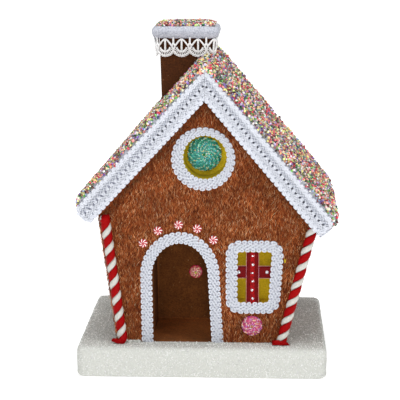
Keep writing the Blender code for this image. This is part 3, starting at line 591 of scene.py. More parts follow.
def makeBase():
    b = baseSizes
    bm = bmesh.new()
    bmesh.ops.create_cube(bm, size=1.0)
    bmesh.ops.scale(bm, vec=(b["width"], b["depth"], b["height"]), verts=bm.verts)
    bmesh.ops.translate(bm, vec=(0, 0, b["height"] / 2), verts=bm.verts)
    uprights = [e for e in bm.edges if abs(e.verts[0].co.z - e.verts[1].co.z) > b["height"] / 2]
    bmesh.ops.bevel(bm, geom=uprights, offset=b["corner"], segments=8, profile=0.5, affect="EDGES", material=-1)
    rims = [e for e in bm.edges if abs(e.verts[0].co.z - e.verts[1].co.z) < b["edge"] / 2]
    bmesh.ops.bevel(bm, geom=rims, offset=b["edge"], segments=6, profile=0.5, affect="EDGES", material=-1)
    long = [e for e in bm.edges if e.calc_length() > 0.012]
    bmesh.ops.subdivide_edges(bm, edges=long, cuts=24, use_grid_fill=True)
    bm.normal_update()
    for vert in bm.verts:
        if vert.co.z > b["edge"]:
            vert.co += vert.normal * b["lump"] * (noise.noise(vert.co * b["lumpScale"]) - 0.6)
    showPiece("snow_base_fabric", gathered("snow base", [(meshOf(bm, "base", smooth=True), snowFabric)]),
              "snow", ["snow_base"])


def makeGlitter():  # loose flakes of glitter that lie on the base's top
    b = baseSizes
    rng = random.Random(31)
    places = []
    while len(places) < b["glitter"]:
        x = rng.uniform(-1, 1) * (b["width"] / 2 - b["bare"])
        y = rng.uniform(-1, 1) * (b["depth"] / 2 - b["bare"])
        if abs(x) < wallSizes["rightFoot"] and abs(y) < wallSizes["back"]:
            continue
        if math.hypot(max(0, abs(x) - b["width"] / 2 + b["corner"]),
                      max(0, abs(y) - b["depth"] / 2 + b["corner"])) > b["corner"] - b["bare"]:
            continue
        size = rng.uniform(*b["glitterSize"])
        side, out, along = randomTurn(rng, up, 0.9)
        shape, sunk = rng.randrange(2), rng.uniform(0.0, 0.2) * mm
        matrix = standing(Vector((x, y, b["height"] - sunk)), side, out, along, (size, size * 0.5, size))
        places.append((shape, matrix, (1, 1, 1)))
    mesh = grown(flakeShapes(), places)
    mesh.materials.append(snowGlitter)
    showPiece("snow_glitter", mesh, "snow")


def makeCrumbs():  # little tufts of snow along the foot of the wall
    b = baseSizes
    rng = random.Random(3)
    bm = bmesh.new()
    bmesh.ops.create_icosphere(bm, subdivisions=1, radius=1.0)
    for vert in bm.verts:
        vert.co *= 0.8 + 0.5 * noise.noise(vert.co * 2.3)
    lump = meshOf(bm, "lump")
    places = []
    for i in range(b["crumbs"]):
        left = i < b["crumbs"] * 0.7  # most lie beside the left cord
        x = rng.uniform(*(b["tuftsAt"] if left else b["crumbsAt"]))
        size = rng.uniform(*(b["tuftSize"] if left else b["crumbSize"]))
        y = wallSizes["front"] - rng.uniform(0.5, 3.0) * mm
        place = Vector((x, y, b["height"] + size * rng.uniform(0.0, 0.6)))
        side, out, along = randomTurn(rng, up, 0.8)
        places.append((0, standing(place, side, out, along, (size, size, size * 0.7)), rgb(236, 236, 232)))
    mesh = grown([lump], places)
    mesh.materials.append(snowFabric)
    showPiece("snow_crumbs", mesh, "snow")


# Walls: a dark ground under joined strands of short plush

furSizes = {"length": 3.9 * mm, "width": 0.56 * mm, "seed": 21, "clear": 3.5 * mm,
            "strands": {"plush_fur_front": 17760, "plush_fur_back": 11250, "plush_fur_sides": 13500},
            "acrossGable": (-0.098, 0.108), "gableTop": 0.250, "sideTop": 0.150,
            "lengthSpread": (0.6, 1.25), "widthSpread": (0.6, 1.2), "bends": (0.6, 1.1, 1.7),
            "swirlScale": 70, "swirlPush": 0.5, "mess": 0.4, "standOut": (0.10, 0.40),
            "paintedShadeAt": (3 * mm, 12 * mm), "paintedShade": (0.42, 1.0)}  # painted shade: darker right below the roof
furTints = [(rgb(88, 34, 11), 4), (rgb(152, 76, 35), 5), (rgb(196, 110, 58), 6), (rgb(218, 142, 86), 4),
            (rgb(240, 184, 134), 2.2), (rgb(250, 214, 172), 0.6)]


def wallCeiling(x):  # height of the roof's underside above a wall's x, at mid depth
    gable = gableAt(0.0)
    slope = math.tan(math.radians(gable["left"] if x < gable["apexX"] else gable["right"]))
    return gable["apexZ"] - slope * abs(x - gable["apexX"])


def inOpening(x, z, margin):
    d, w, r = doorSizes, windowSizes, roundSizes
    middle = (d["leftSpring"] + d["rightSpring"]) / 2
    half = (d["rightSpring"] - d["leftSpring"]) / 2 + margin
    if z < d["springZ"]:
        if abs(x - middle) < half + 1.5 * mm:  # its sides lean out towards the foot
            return True
    elif ((x - middle) / half) ** 2 + ((z - d["springZ"]) / (d["topZ"] - d["springZ"] + margin)) ** 2 < 1:
        return True
    if abs(x - w["x"]) < w["halfWidth"] + margin and abs(z - w["z"]) < w["halfHeight"] + margin:
        return True
    return (x - r["openX"]) ** 2 + (z - r["openZ"]) ** 2 < (r["openRadius"] + margin) ** 2


def hairShape(bend):  # one strand along +Z, bent towards +Y and back
    bm = bmesh.new()
    bmesh.ops.create_cone(bm, cap_ends=True, segments=3, radius1=0.5, radius2=0.04, depth=1.0)
    bmesh.ops.translate(bm, vec=(0, 0, 0.5), verts=bm.verts)
    cap = [f for f in bm.faces if f.calc_center_median().z > 0.99]
    bmesh.ops.pointmerge(bm, verts=cap[0].verts[:], merge_co=(0, 0, 1.0))
    bmesh.ops.bisect_plane(bm, geom=bm.verts[:] + bm.edges[:] + bm.faces[:], plane_co=(0, 0, 0.45),
                           plane_no=(0, 0, 1))
    for vert in bm.verts:
        vert.co.y += bend * math.sin(vert.co.z * math.pi * 0.75)
    return meshOf(bm, "hair")


def furPlaces(rng, count, draw):
    # draw gives a spot, the outward normal and the nap's direction, or None
    f = furSizes
    tints, weights = zip(*furTints)
    places = []
    while len(places) < count:
        found = draw(rng)
        if found is None:
            continue
        spot, out, nap = found
        swirl = f["swirlPush"] * noise.noise(spot * f["swirlScale"])
        blotch = 1.0 + 0.5 * noise.noise(spot * 55 + Vector((3, 1, 7))) + 0.3 * noise.noise(spot * 160)
        side = out.cross(nap)
        lean = nap + side * (swirl + rng.gauss(0, f["mess"])) + out * rng.uniform(*f["standOut"])
        lean.normalize()
        across = lean.cross(out).normalized()
        length = f["length"] * rng.uniform(*f["lengthSpread"])
        width = f["width"] * rng.uniform(*f["widthSpread"])
        # painted shade: a darker tint for strands right below the roof
        paintedShade = np.interp(wallCeiling(spot.x) - spot.z, f["paintedShadeAt"], f["paintedShade"])
        tint = Vector(rng.choices(tints, weights)[0]) * blotch * paintedShade
        matrix = standing(spot, across, across.cross(lean), lean, (width, width, length))
        places.append((rng.randrange(3), matrix, tuple(min(1.0, c) for c in tint)))
    return places


def drawOnGable(rng, out):
    w = wallSizes
    x, z = rng.uniform(*furSizes["acrossGable"]), rng.uniform(w["bottom"], furSizes["gableTop"])
    leftEdge = w["leftFoot"] - w["leftLean"] * (z - w["bottom"])
    rightEdge = w["rightFoot"] + w["rightLean"] * (z - w["bottom"])
    atFront = out == front
    if not leftEdge < x < rightEdge or z > wallCeiling(x) or (atFront and inOpening(x, z, furSizes["clear"])):
        return None
    return Vector((x, w["front"] if atFront else w["back"], z)), out, Vector((0, 0, -1))


def drawOnFront(rng):
    return drawOnGable(rng, front)


def drawOnBack(rng):
    return drawOnGable(rng, -front)


def drawOnSide(rng):
    w = wallSizes
    hand = rng.choice((-1, 1))
    lean = w["leftLean"] if hand < 0 else w["rightLean"]
    foot = w["leftFoot"] if hand < 0 else w["rightFoot"]
    z = rng.uniform(w["bottom"], furSizes["sideTop"])
    x = foot + hand * lean * (z - w["bottom"])
    if z > wallCeiling(x):
        return None
    out = Vector((hand, 0, -lean)).normalized()
    nap = Vector((-hand * lean, 0, -1)).normalized()
    return Vector((x, rng.uniform(w["front"], w["back"]), z)), out, nap


def makeWalls():
    bm = bmesh.new()
    bm.from_mesh(nodes["house_body"].data)
    bmesh.ops.remove_doubles(bm, verts=bm.verts, dist=0.01 * mm)
    mesh = bpy.data.meshes.new("plush core")
    bm.to_mesh(mesh)
    bm.free()
    core = gathered("plush core", [(mesh, plushSkin)])
    showPiece("plush_core", core, "plush", ["house_body"])
    rng = random.Random(furSizes["seed"])
    shapes = [hairShape(bend) for bend in furSizes["bends"]]
    draws = {"plush_fur_front": drawOnFront, "plush_fur_back": drawOnBack, "plush_fur_sides": drawOnSide}
    for name, draw in draws.items():
        mesh = grown(shapes, furPlaces(rng, furSizes["strands"][name], draw))
        mesh.materials.append(plushHair)
        showPiece(name, mesh, "plush")


# Roof: knitted cloth over the slab, and candy flakes on both slopes

flakeSizes = {"small": 2.0 * mm, "large": 3.6 * mm, "thick": 0.62, "perSquareMm": 0.30, "tilt": 2.4,
              "rise": 2.2 * mm, "leftBorder": 0.2 * mm, "ridgeBorder": 0.2 * mm, "rightBorder": 0.4 * mm,
              "ragged": 1.8 * mm,
              "spill": 0.05, "seed": 5, "apexFlakes": 150, "apexWidth": 7.5 * mm, "apexDrop": 4.5 * mm,
              "edgeFlakes": 420, "hangAt": (0.0, 0.1, 0.35, 0.88, 1.0),
              "hang": {-1: (4.8, 3.0, 1.2, 0.6, 0.1), 1: (4.8, 3.4, 2.8, 2.2, 0.3)},
              "strengths": (0.16, 0.36, 0.68, 0.84, 0.97, 1.22), "middleX": 3.5 * mm, "ridgeFade": 45 * mm,
              "eaveBorder": 10.5 * mm, "bareEnd": 11 * mm}
flakeTints = [(rgb(252, 246, 156), 13), (rgb(255, 252, 224), 12), (rgb(250, 156, 152), 12), (rgb(250, 182, 124), 9),
              (rgb(214, 36, 64), 9), (rgb(236, 98, 112), 9), (rgb(110, 186, 88), 7), (rgb(20, 108, 70), 6),
              (rgb(206, 184, 232), 8), (rgb(120, 84, 170), 6), (rgb(160, 184, 216), 5), (rgb(84, 26, 44), 5),
              (rgb(248, 236, 236), 10), (rgb(206, 226, 134), 5)]


def flakeTint(rng):  # a seeded colour at one of several strengths
    tints, weights = zip(*flakeTints)
    tint = Vector(rng.choices(tints, weights)[0]) * rng.choice(flakeSizes["strengths"])
    return tuple(min(1.0, c) for c in tint)


def flakeShapes():
    shapes = []
    for sides in (4, 5):
        bm = bmesh.new()
        bmesh.ops.create_cone(bm, cap_ends=True, segments=sides, radius1=0.5, radius2=0.42, depth=1.0)
        bmesh.ops.rotate(bm, verts=bm.verts, matrix=Matrix.Rotation(0.4, 3, "Z"))
        shapes.append(meshOf(bm, "flake"))
    return shapes


class RoofSkin:  # the slab's upper outline at even steps, from the left eave to the right one
    def __init__(self):
        self.count = 400
        self.ys = np.linspace(frontGable["y"] + 2 * mm, backGable["y"] - 2 * mm, roofSizes["stations"])
        rows = []
        for y in self.ys:
            outline = roofOutline(y)
            steps = roofSizes["roundSteps"]
            top = outline[steps: 4 * steps + 5]  # from the left low corner to the right low corner
            at, length = follower([Vector((p.x, 0, p.y)) for p in top], front)
            rows.append([tuple(at(s)[0]) for s in np.linspace(0, length, self.count)])
        self.rows = np.array(rows)
        self.length = length

    def at(self, share, y):  # point and outward normal
        row = np.interp(y, self.ys, np.arange(len(self.ys)))
        near, far = int(math.floor(row)), min(int(math.floor(row)) + 1, len(self.ys) - 1)
        line = self.rows[near] * (1 - row + near) + self.rows[far] * (row - near)
        spot = share * (self.count - 1)
        i = min(int(spot), self.count - 2)
        point = line[i] + (line[i + 1] - line[i]) * (spot - i)
        before, after = line[max(i - 3, 0)], line[min(i + 4, self.count - 1)]
        ahead = Vector(after - before).normalized()
        return Vector((point[0], y, point[2])), Vector((-ahead.z, 0, ahead.x))


chimneySizes = {"x": -0.0195, "y": 0.047, "width": 0.0500, "depth": 0.0460, "flare": 0.03, "topZ": 0.3062,
                "corner": 0.006, "bandZ": 0.2952, "bulge": 0.0068, "heapFlakes": 1250}


def chimneyOutline(z, grow, steps):
    c = chimneySizes
    flare = c["flare"] * (z - c["topZ"])
    halfX, halfY = c["width"] / 2 + flare + grow, c["depth"] / 2 + flare + grow
    corners = [(Vector((c["x"] + a * halfX, c["y"] + b * halfY)), c["corner"])
               for a, b in ((-1, -1), (-1, 1), (1, 1), (1, -1))]
    return roundedOutline(corners, steps)


def underChimney(spot):
    c = chimneySizes
    return abs(spot.x - c["x"]) < c["width"] / 2 - 1.2 * mm and abs(spot.y - c["y"]) < c["depth"] / 2 - 1.2 * mm


def makeRoof():
    rings = []
    rim = roofSizes["rim"]
    turns = np.linspace(0, math.pi / 2, 6)
    for t in turns:
        y = frontGable["y"] + rim * (1 - math.cos(t))
        rings.append(atDepth(roofOutline(y, rim * (1 - math.sin(t))), y))
    for y in np.linspace(frontGable["y"] + rim, backGable["y"] - rim, 14)[1:-1]:
        rings.append(atDepth(roofOutline(y), y))
    for t in reversed(turns):
        y = backGable["y"] - rim * (1 - math.cos(t))
        rings.append(atDepth(roofOutline(y, rim * (1 - math.sin(t))), y))
    cloth = lofted("roof cloth", rings)
    cloth = gathered("roof cloth", [(cloth, knitBorder)])
    cloth.materials.append(flakeGroundShade)
    for face in cloth.polygons:
        spot = face.center
        fromEnd = min(spot.y - frontGable["y"], backGable["y"] - spot.y)
        rise = face.normal.z > 0.2 and fromEnd > flakeSizes["bareEnd"]
        face.material_index = 1 if rise else 0
    showPiece("roof_cloth", cloth, "sprinkled", ["roof"])
    skin = RoofSkin()
    rng = random.Random(flakeSizes["seed"])
    shapes = flakeShapes()
    tints, weights = zip(*flakeTints)
    f = flakeSizes
    area = skin.length * (backGable["y"] - frontGable["y"]) / mm ** 2
    halves = {"roof_flakes_left": [], "roof_flakes_right": []}
    for _ in range(int(area * f["perSquareMm"])):
        share, y = rng.uniform(0.02, 0.98), rng.uniform(frontGable["y"], backGable["y"])
        spot, normal = skin.at(share, y)
        rag = f["ragged"] * noise.noise(spot * 160) + f["ragged"] * 0.6 * noise.noise(spot * 420)
        down = min(1.0, abs(spot.x - f["middleX"]) / f["ridgeFade"])
        border = mixed(f["ridgeBorder"], f["rightBorder"], down) if spot.x > f["middleX"] else f["leftBorder"]
        border += rag - (rng.uniform(0, 3) * mm if rng.random() < f["spill"] else 0)
        fromEnd = min(y - frontGable["y"], backGable["y"] - y)
        fromEave = min(share, 1 - share) * skin.length
        if fromEnd < border or fromEave < f["eaveBorder"] + rag or underChimney(spot):
            continue
        if fromEnd < rim:  # down over the rounded edge of the gable
            cosine = 1 - fromEnd / rim
            sine = math.sqrt(1 - cosine ** 2)
            end = front if y < 0 else -front
            spot -= normal * rim * (1 - sine)
            normal = (normal * sine + end * cosine).normalized()
        size = rng.uniform(f["small"], f["large"]) * rng.uniform(0.8, 1.0)
        side, out, along = randomTurn(rng, normal, f["tilt"])
        spot += normal * rng.random() ** 2 * f["rise"]
        tint = flakeTint(rng)
        matrix = standing(spot, side, out, along, (size, size * rng.uniform(0.5, 1.0), size * f["thick"]))
        half = "roof_flakes_left" if spot.x < f["middleX"] else "roof_flakes_right"
        halves[half].append((rng.randrange(2), matrix, tint))
    for gable, sign in ((frontGable, -1), (backGable, 1)):  # flakes tumble over the top of each gable
        top = ridgePoint(gable, roofSizes["thick"])
        for _ in range(f["apexFlakes"]):
            across, drop = rng.gauss(0, 0.45) * f["apexWidth"], rng.random() ** 1.3 * f["apexDrop"]
            drop += abs(across) * 1.05 + 1.5 * mm
            spot = Vector((top.x + across, gable["y"] + sign * rng.uniform(0.6, 2.4) * mm, top.y - drop))
            side, out, along = randomTurn(rng, Vector((0, sign, 0)), f["tilt"])
            size = rng.uniform(f["small"], f["large"]) * 0.9
            matrix = standing(spot, side, out, along, (size, size * 0.8, size * f["thick"]))
            half = "roof_flakes_left" if across < 0 else "roof_flakes_right"
            halves[half].append((rng.randrange(2), matrix, rng.choices(tints, weights)[0]))
        for _ in range(f["edgeFlakes"]):  # and hang over its two edges
            hand, share = rng.choice((-1, 1)), rng.random()
            drop = rng.uniform(-0.6, np.interp(share, f["hangAt"], f["hang"][hand])) * mm
            run = mixed(-0.022, gable["leftRun" if hand < 0 else "rightRun"] - 8 * mm, share)
            edge = slopePoint(gable, hand, run, roofSizes["thick"] - drop)
            spot = Vector((edge.x, gable["y"] + sign * rng.uniform(-0.6, 2.4) * mm, edge.y))
            side, out, along = randomTurn(rng, Vector((0, sign, 0)), f["tilt"])
            size = rng.uniform(f["small"], f["large"]) * 0.85
            matrix = standing(spot, side, out, along, (size, size * 0.8, size * f["thick"]))
            tint = flakeTint(rng)
            half = "roof_flakes_left" if hand < 0 else "roof_flakes_right"
            halves[half].append((rng.randrange(2), matrix, tint))
    for name, places in halves.items():
        mesh = grown(shapes, places)
        mesh.materials.append(candyFlake)
        showPiece(name, mesh, "sprinkled")
        print(name, len(places), "flakes")


# Braids: looping yarns over a thin ground

gimpSizes = {"pitch": 5.0 * mm, "reach": 4.8 * mm, "curl": 3.3 * mm, "yarn": 0.74 * mm, "lift": 1.2 * mm,
             "groundWidth": 8.2 * mm, "groundThick": 0.9 * mm, "pointsPerTurn": 26, "crossPitch": 2.7 * mm,
             "crossYarn": 0.46 * mm, "crossReach": (0.1 * mm, 2.0 * mm)}
roofBraidSizes = {"width": 18.2 * mm, "scallop": 5.3 * mm, "loopReach": 2.2 * mm, "loopCurl": 3.3 * mm,
                  "loopYarn": 0.72 * mm, "zigYarn": 0.88 * mm, "zigPitch": 3.9 * mm, "holeLine": 9.3 * mm,
                  "holeGap": 2.1 * mm, "holePitch": 5.3 * mm, "rungApart": 0.95 * mm, "thick": 0.7 * mm,
                  "corner": 5.5 * mm, "lowCorner": 3.2 * mm, "tail": 2.2 * mm}


def ribbonStrip(name, at, length, low, high, base, thick, out, closed=False, step=1.5 * mm, lean=Vector()):
    # a flat strip along a path, from low to high across it
    count = max(2, int(length / step))
    rings = []
    for distance in np.linspace(0, length, count, endpoint=not closed):
        spot, across = at(distance)
        narrow = lean.dot(across)
        bottom = low(distance) if callable(low) else low
        top = high(distance) if callable(high) else high
        inner, outer = spot + across * (bottom + narrow), spot + across * (top - narrow)
        rings.append([inner + out * base, outer + out * base, outer + out * (base + thick),
                      inner + out * (base + thick)])
    return lofted(name, rings, closed=closed, smooth=False)


def gimpBraid(name, path, out, closed, replaced, lean=Vector((0, 0, 0)), reach=None):
    # three yarns that loop out at both edges; the braid is narrower towards its lean
    g = gimpSizes
    reach = reach or g["reach"]
    at, length = follower(path, out, closed)
    loops = round(length / g["pitch"])
    if closed:
        loops = round(loops / 3) * 3
    pitch = length / loops
    count = int(loops / 3 * g["pointsPerTurn"])
    lines = []
    for strand in range(3):
        line = []
        for i in range(count + (0 if closed else 1)):
            turn = math.tau * i / g["pointsPerTurn"] * (loops / 3) / (count / g["pointsPerTurn"])
            phase = turn + math.tau * strand / 3
            along = pitch * 3 * turn / math.tau + g["curl"] * math.sin(2 * phase)
            if not closed:
                along = min(max(along, 0.0), length)
            spot, across = at(along)
            height = g["lift"] + 0.35 * mm * math.cos(3 * phase) + 0.1 * mm
            line.append(spot + across * (reach - lean.dot(across)) * math.sin(phase) + out * height)
        lines.append(line)
    yarns = tubes("gimp yarn", lines, g["yarn"], roundness=2, closed=closed)
    crossing = []
    for hand in (-1, 1):
        steps = int(length / g["crossPitch"] * 2)
        crossing.append([])
        for i in range(steps + (0 if closed else 1)):
            spot, across = at(length * i / steps)
            rise = g["crossReach"][i % 2] * hand
            crossing[-1].append(spot + across * rise + out * (g["lift"] + 0.75 * mm))
    crossing = tubes("gimp crossing", crossing, g["crossYarn"], closed=closed)
    half = g["groundWidth"] / 2 * reach / g["reach"]
    ground = ribbonStrip("gimp ground", at, length, -half, half, 0.2 * mm, g["groundThick"], out, closed, lean=lean)
    showPiece(name, gathered(name, [(yarns, braidYarn), (crossing, braidYarn), (ground, braidGroundPaintedShade)]),
              "white_braid", replaced)


def zigzag(at, length, low, high, pitch, out, height, limit):
    line = []
    steps = int(length / pitch * 2)
    for i in range(steps + 1):
        distance = length * i / steps
        spot, across = at(distance)
        rise = min((high if i % 2 else low) + 0.5 * mm * noise.noise(spot * 700), limit(distance))
        line.append(spot + across * rise + out * (height + (0.3 * mm if i % 2 else 0.0)))
    return line


def mitred(mesh, plane, keep):  # cuts a mesh off at an upright plane and closes the cut
    bm = bmesh.new()
    bm.from_mesh(mesh)
    bmesh.ops.bisect_plane(bm, geom=bm.verts[:] + bm.edges[:] + bm.faces[:], plane_co=plane, plane_no=-keep,
                           clear_outer=True)
    bmesh.ops.holes_fill(bm, edges=[e for e in bm.edges if e.is_boundary], sides=0)
    bmesh.ops.triangulate(bm, faces=[f for f in bm.faces if len(f.verts) > 4])
    name = mesh.name
    bpy.data.meshes.remove(mesh)
    bmesh.ops.recalc_face_normals(bm, faces=bm.faces)
    mesh = bpy.data.meshes.new(name)
    bm.to_mesh(mesh)
    bm.free()
    return mesh


def ladderBraid(name, path, out, replaced, width, cut=None, closedShare=0.0):
    # a wide braid: looped edges, zigzag bands and a row of holes between them
    r = roofBraidSizes
    at, length = follower(path, out)
    loops = round(length / r["scallop"])

    def drawnIn(distance, corner):  # how far an edge is rounded in towards both ends
        near = max(0.0, min(distance, length - distance, corner))
        return corner - math.sqrt(corner ** 2 - (corner - near) ** 2)

    def limit(distance):  # the upper edge
        return width - drawnIn(distance, r["corner"])

    def footing(distance):  # the lower edge
        return drawnIn(distance, r["lowCorner"])

    def groundFoot(distance):
        return 1.0 * mm + footing(distance)

    def loopLine(strand, low):
        line = []
        for i in range(loops * 12 + 1):
            turn = math.tau * i / 36
            phase = turn + math.tau * strand / 3
            along = min(max(3 * length / loops * turn / math.tau + r["loopCurl"] * math.sin(2 * phase), 0.0), length)
            spot, across = at(along)
            bow = r["loopReach"] * (1 - math.sin(phase))
            line.append(spot + across * (footing(along) + bow if low else limit(along) - 0.8 * bow)
                        + out * (1.15 * mm + 0.3 * mm * math.cos(3 * phase)))
        return line

    holeLow, holeHigh = r["holeLine"] - r["holeGap"] / 2, r["holeLine"] + r["holeGap"] / 2
    wide = width > holeHigh + 3 * mm
    loopLines = [loopLine(strand, low) for strand in range(3) for low in ((True, False) if wide else (True,))]
    edge = tubes("edge loops", loopLines, r["loopYarn"], roundness=2)
    bands = [(4.0 * mm, 6.4 * mm), (6.0 * mm, holeLow)]
    if wide:
        bands += [(holeHigh, holeHigh + 3.6 * mm), (holeHigh + 3.4 * mm, width - 2.6 * mm)]
    else:
        bands += [(holeHigh, width - 0.6 * mm)]

    yarns = [zigzag(at, length, low, top, r["zigPitch"], out, 1.2 * mm, limit) for low, top in bands]
    for end in (0.6 * mm, length - 0.6 * mm):  # a wavy yarn across each end
        spot, across = at(end)
        along = out.cross(across) * (1 if end > length / 2 else -1)
        yarns.append([spot + across * rise - along * 0.9 * mm * math.cos(rise / (1.1 * mm)) + out * 1.3 * mm
                      for rise in np.linspace(r["lowCorner"] * 0.8, width - r["corner"] * 0.7, 40)])
    for rung in np.arange(r["holePitch"] / 2, length, r["holePitch"]):
        for beside in (-1, 0, 1):
            spot, across = at(rung + beside * r["rungApart"])
            yarns.append([spot + across * (r["holeLine"] + step * r["holeGap"] * 0.6) + out * height * mm
                          for step, height in ((-1, 0.8), (0, 1.15), (1, 0.8))])
    parts = [
        (edge, braidYarn),
        (tubes("braid yarn", yarns, r["zigYarn"]), braidYarn),
        (ribbonStrip("low ground", at, length, groundFoot, holeLow, 0.15 * mm, r["thick"], out), braidGroundPaintedShade),
        # painted shade: a dark strip under the row of holes stands in for the shadow inside them
        (ribbonStrip("dark strip behind the holes", at, length, holeLow, holeHigh, 0.1 * mm, 0.25 * mm, out), braidShade),
        (ribbonStrip("high ground", at, length, holeHigh, limit, 0.15 * mm, r["thick"], out), braidGroundPaintedShade),
    ]
    if closedShare:  # towards this end the holes are drawn almost shut, and a grey strip gives them fainter painted shade
        parts.append((ribbonStrip("filler", at, length * closedShare, holeLow, holeHigh, 0.2 * mm, 0.5 * mm, out),
                      braidFaintShade))
    if cut:
        parts = [(mitred(mesh, *cut), look) for mesh, look in parts]
    showPiece(name, gathered(name, parts), "white_braid", replaced)


def makeBraids():
    faceY = wallSizes["front"]
    gimpBraid("doorway_gimp", atDepth(doorPath(), faceY), front, False, ["doorway_braid"])
    gimpBraid("square_window_gimp", atDepth(windowPath(), faceY), front, True, ["square_window_braid"])
    gimpBraid("round_window_gimp", atDepth(roundPath(), faceY), front, True, ["round_window_braid"],
              roundSizes["lean"], roundSizes["reach"])
    for gable, where, out in ((frontGable, "front", front), (backGable, "back", -front)):
        for side, hand in ((-1, "left"), (1, "right")):
            run = gable["leftRun"] if side < 0 else gable["rightRun"]
            tail = roofBraidSizes["tail"] if (where, hand) == ("front", "left") else 0.0
            line = [slopePoint(gable, side, s, 0.0) for s in np.linspace(-0.024, run + tail, 60)]
            if (side < 0) == (where == "front"):
                line.reverse()
            ridge = Vector((gable["apexX"] + side * 0.1 * mm, 0, 0))
            ladderBraid(f"roof_trim_{where}_{hand}", atDepth(line, gable["y"]), out,
                        [f"roof_braid_{where}_{hand}"], roofBraidSizes["width"], cut=(ridge, Vector((side, 0, 0))),
                        closedShare=0.52 if (where, hand) == ("front", "left") else 0.0)
    for side, hand in ((-1, "left"), (1, "right")):
        line = []
        for y in np.linspace(frontGable["y"] + 2 * mm, backGable["y"] - 2 * mm, 30):
            gable = gableAt(y)
            spot = slopePoint(gable, side, gable["leftRun"] if side < 0 else gable["rightRun"], 0.0)
            line.append(Vector((spot.x, y, spot.y)))
        if side < 0:
            line.reverse()
        pitch = math.radians(frontGable["left"] if side < 0 else frontGable["right"])
        out = Vector((side * math.cos(pitch), 0, -math.sin(pitch)))
        ladderBraid(f"eave_trim_{hand}", line, out, [f"eave_braid_{hand}"], 13.5 * mm)


# Sweets, ribbons and stones

sweetSizes = {
    "teal_candy": {"x": 0.0015, "z": 0.1981, "radius": 0.0155, "thick": 0.0062, "grain": 0.82 * mm,
                   "back": -0.0561, "arms": 12, "bend": 2.0},
    "doorway_candy": {"x": -0.0090, "z": 0.0748, "radius": 0.0061, "thick": 0.0045, "grain": 0.6 * mm,
                      "back": 0.0059, "arms": 8, "bend": 1.3},
    "pink_candy": {"x": 0.0452, "z": 0.0444, "radius": 0.0093, "thick": 0.0042, "grain": 0.62 * mm,
                   "back": -0.0748, "arms": 8, "bend": 1.3},
}
sweetRidge, grainCover = 0.14, 4.5  # height of the arms, grains for a radius of one grain
mintSizes = {"radius": 0.0040, "thick": 0.0028, "back": -0.0748,
             "places": ((-0.0529, 0.1196), (-0.0395, 0.1311), (-0.0210, 0.1366), (-0.0043, 0.1332),
                         (0.0102, 0.1231))}
beadRadius = 1.3 * mm


domeProfile = ((0.0, 1.0), (0.25, 0.99), (0.5, 0.93), (0.75, 0.8), (0.9, 0.62), (1.0, 0.35),
               (0.95, 0.0), (0.0, 0.0))


def domedDisc(radius, thick, place, steps):
    # a profile spun round Z, then stood up to face the front
    bm = bmesh.new()
    verts = [bm.verts.new((r * radius, 0, h * thick)) for r, h in domeProfile]
    edges = [bm.edges.new(pair) for pair in zip(verts, verts[1:])]
    bmesh.ops.spin(bm, geom=verts + edges, cent=(0, 0, 0), axis=(0, 0, 1), angle=math.tau, steps=steps,
                   use_merge=True)
    bmesh.ops.remove_doubles(bm, verts=bm.verts, dist=0.01 * mm)
    bmesh.ops.rotate(bm, verts=bm.verts, cent=(0, 0, 0), matrix=Matrix.Rotation(math.pi / 2, 3, "X"))
    bmesh.ops.translate(bm, verts=bm.verts, vec=place)
    return bm


def ballMesh(radius, place):
    bm = bmesh.new()
    bmesh.ops.create_uvsphere(bm, u_segments=16, v_segments=10, radius=radius)
    bmesh.ops.translate(bm, verts=bm.verts, vec=place)
    return meshOf(bm, "ball", smooth=True)


def sugarGrains(rng, spec, surface, armShare, tints):
    # glossy grains over a disc's face; surface gives how far a spot stands out
    shapes = flakeShapes()
    places = []
    count = int((spec["radius"] / spec["grain"]) ** 2 * grainCover)
    while len(places) < count:
        a, r = rng.uniform(0, math.tau), spec["radius"] * math.sqrt(rng.uniform(0, 1))
        out = surface(a, r / spec["radius"])
        if out is None:
            continue
        spot = Vector((spec["x"] + r * math.cos(a), spec["back"] - out, spec["z"] + r * math.sin(a)))
        side, deep, along = randomTurn(rng, front, 0.9)
        grain = spec["grain"] * rng.uniform(0.6, 1.3)
        palette = tints["arms" if armShare(a, r / spec["radius"]) > rng.uniform(0.38, 0.56) else "between"]
        tint = rng.choices([t for t, _ in palette], [w for _, w in palette])[0]
        places.append((rng.randrange(2), standing(spot, side, deep, along, (grain, grain, grain * 0.5)), tint))
    return grown(shapes, places)


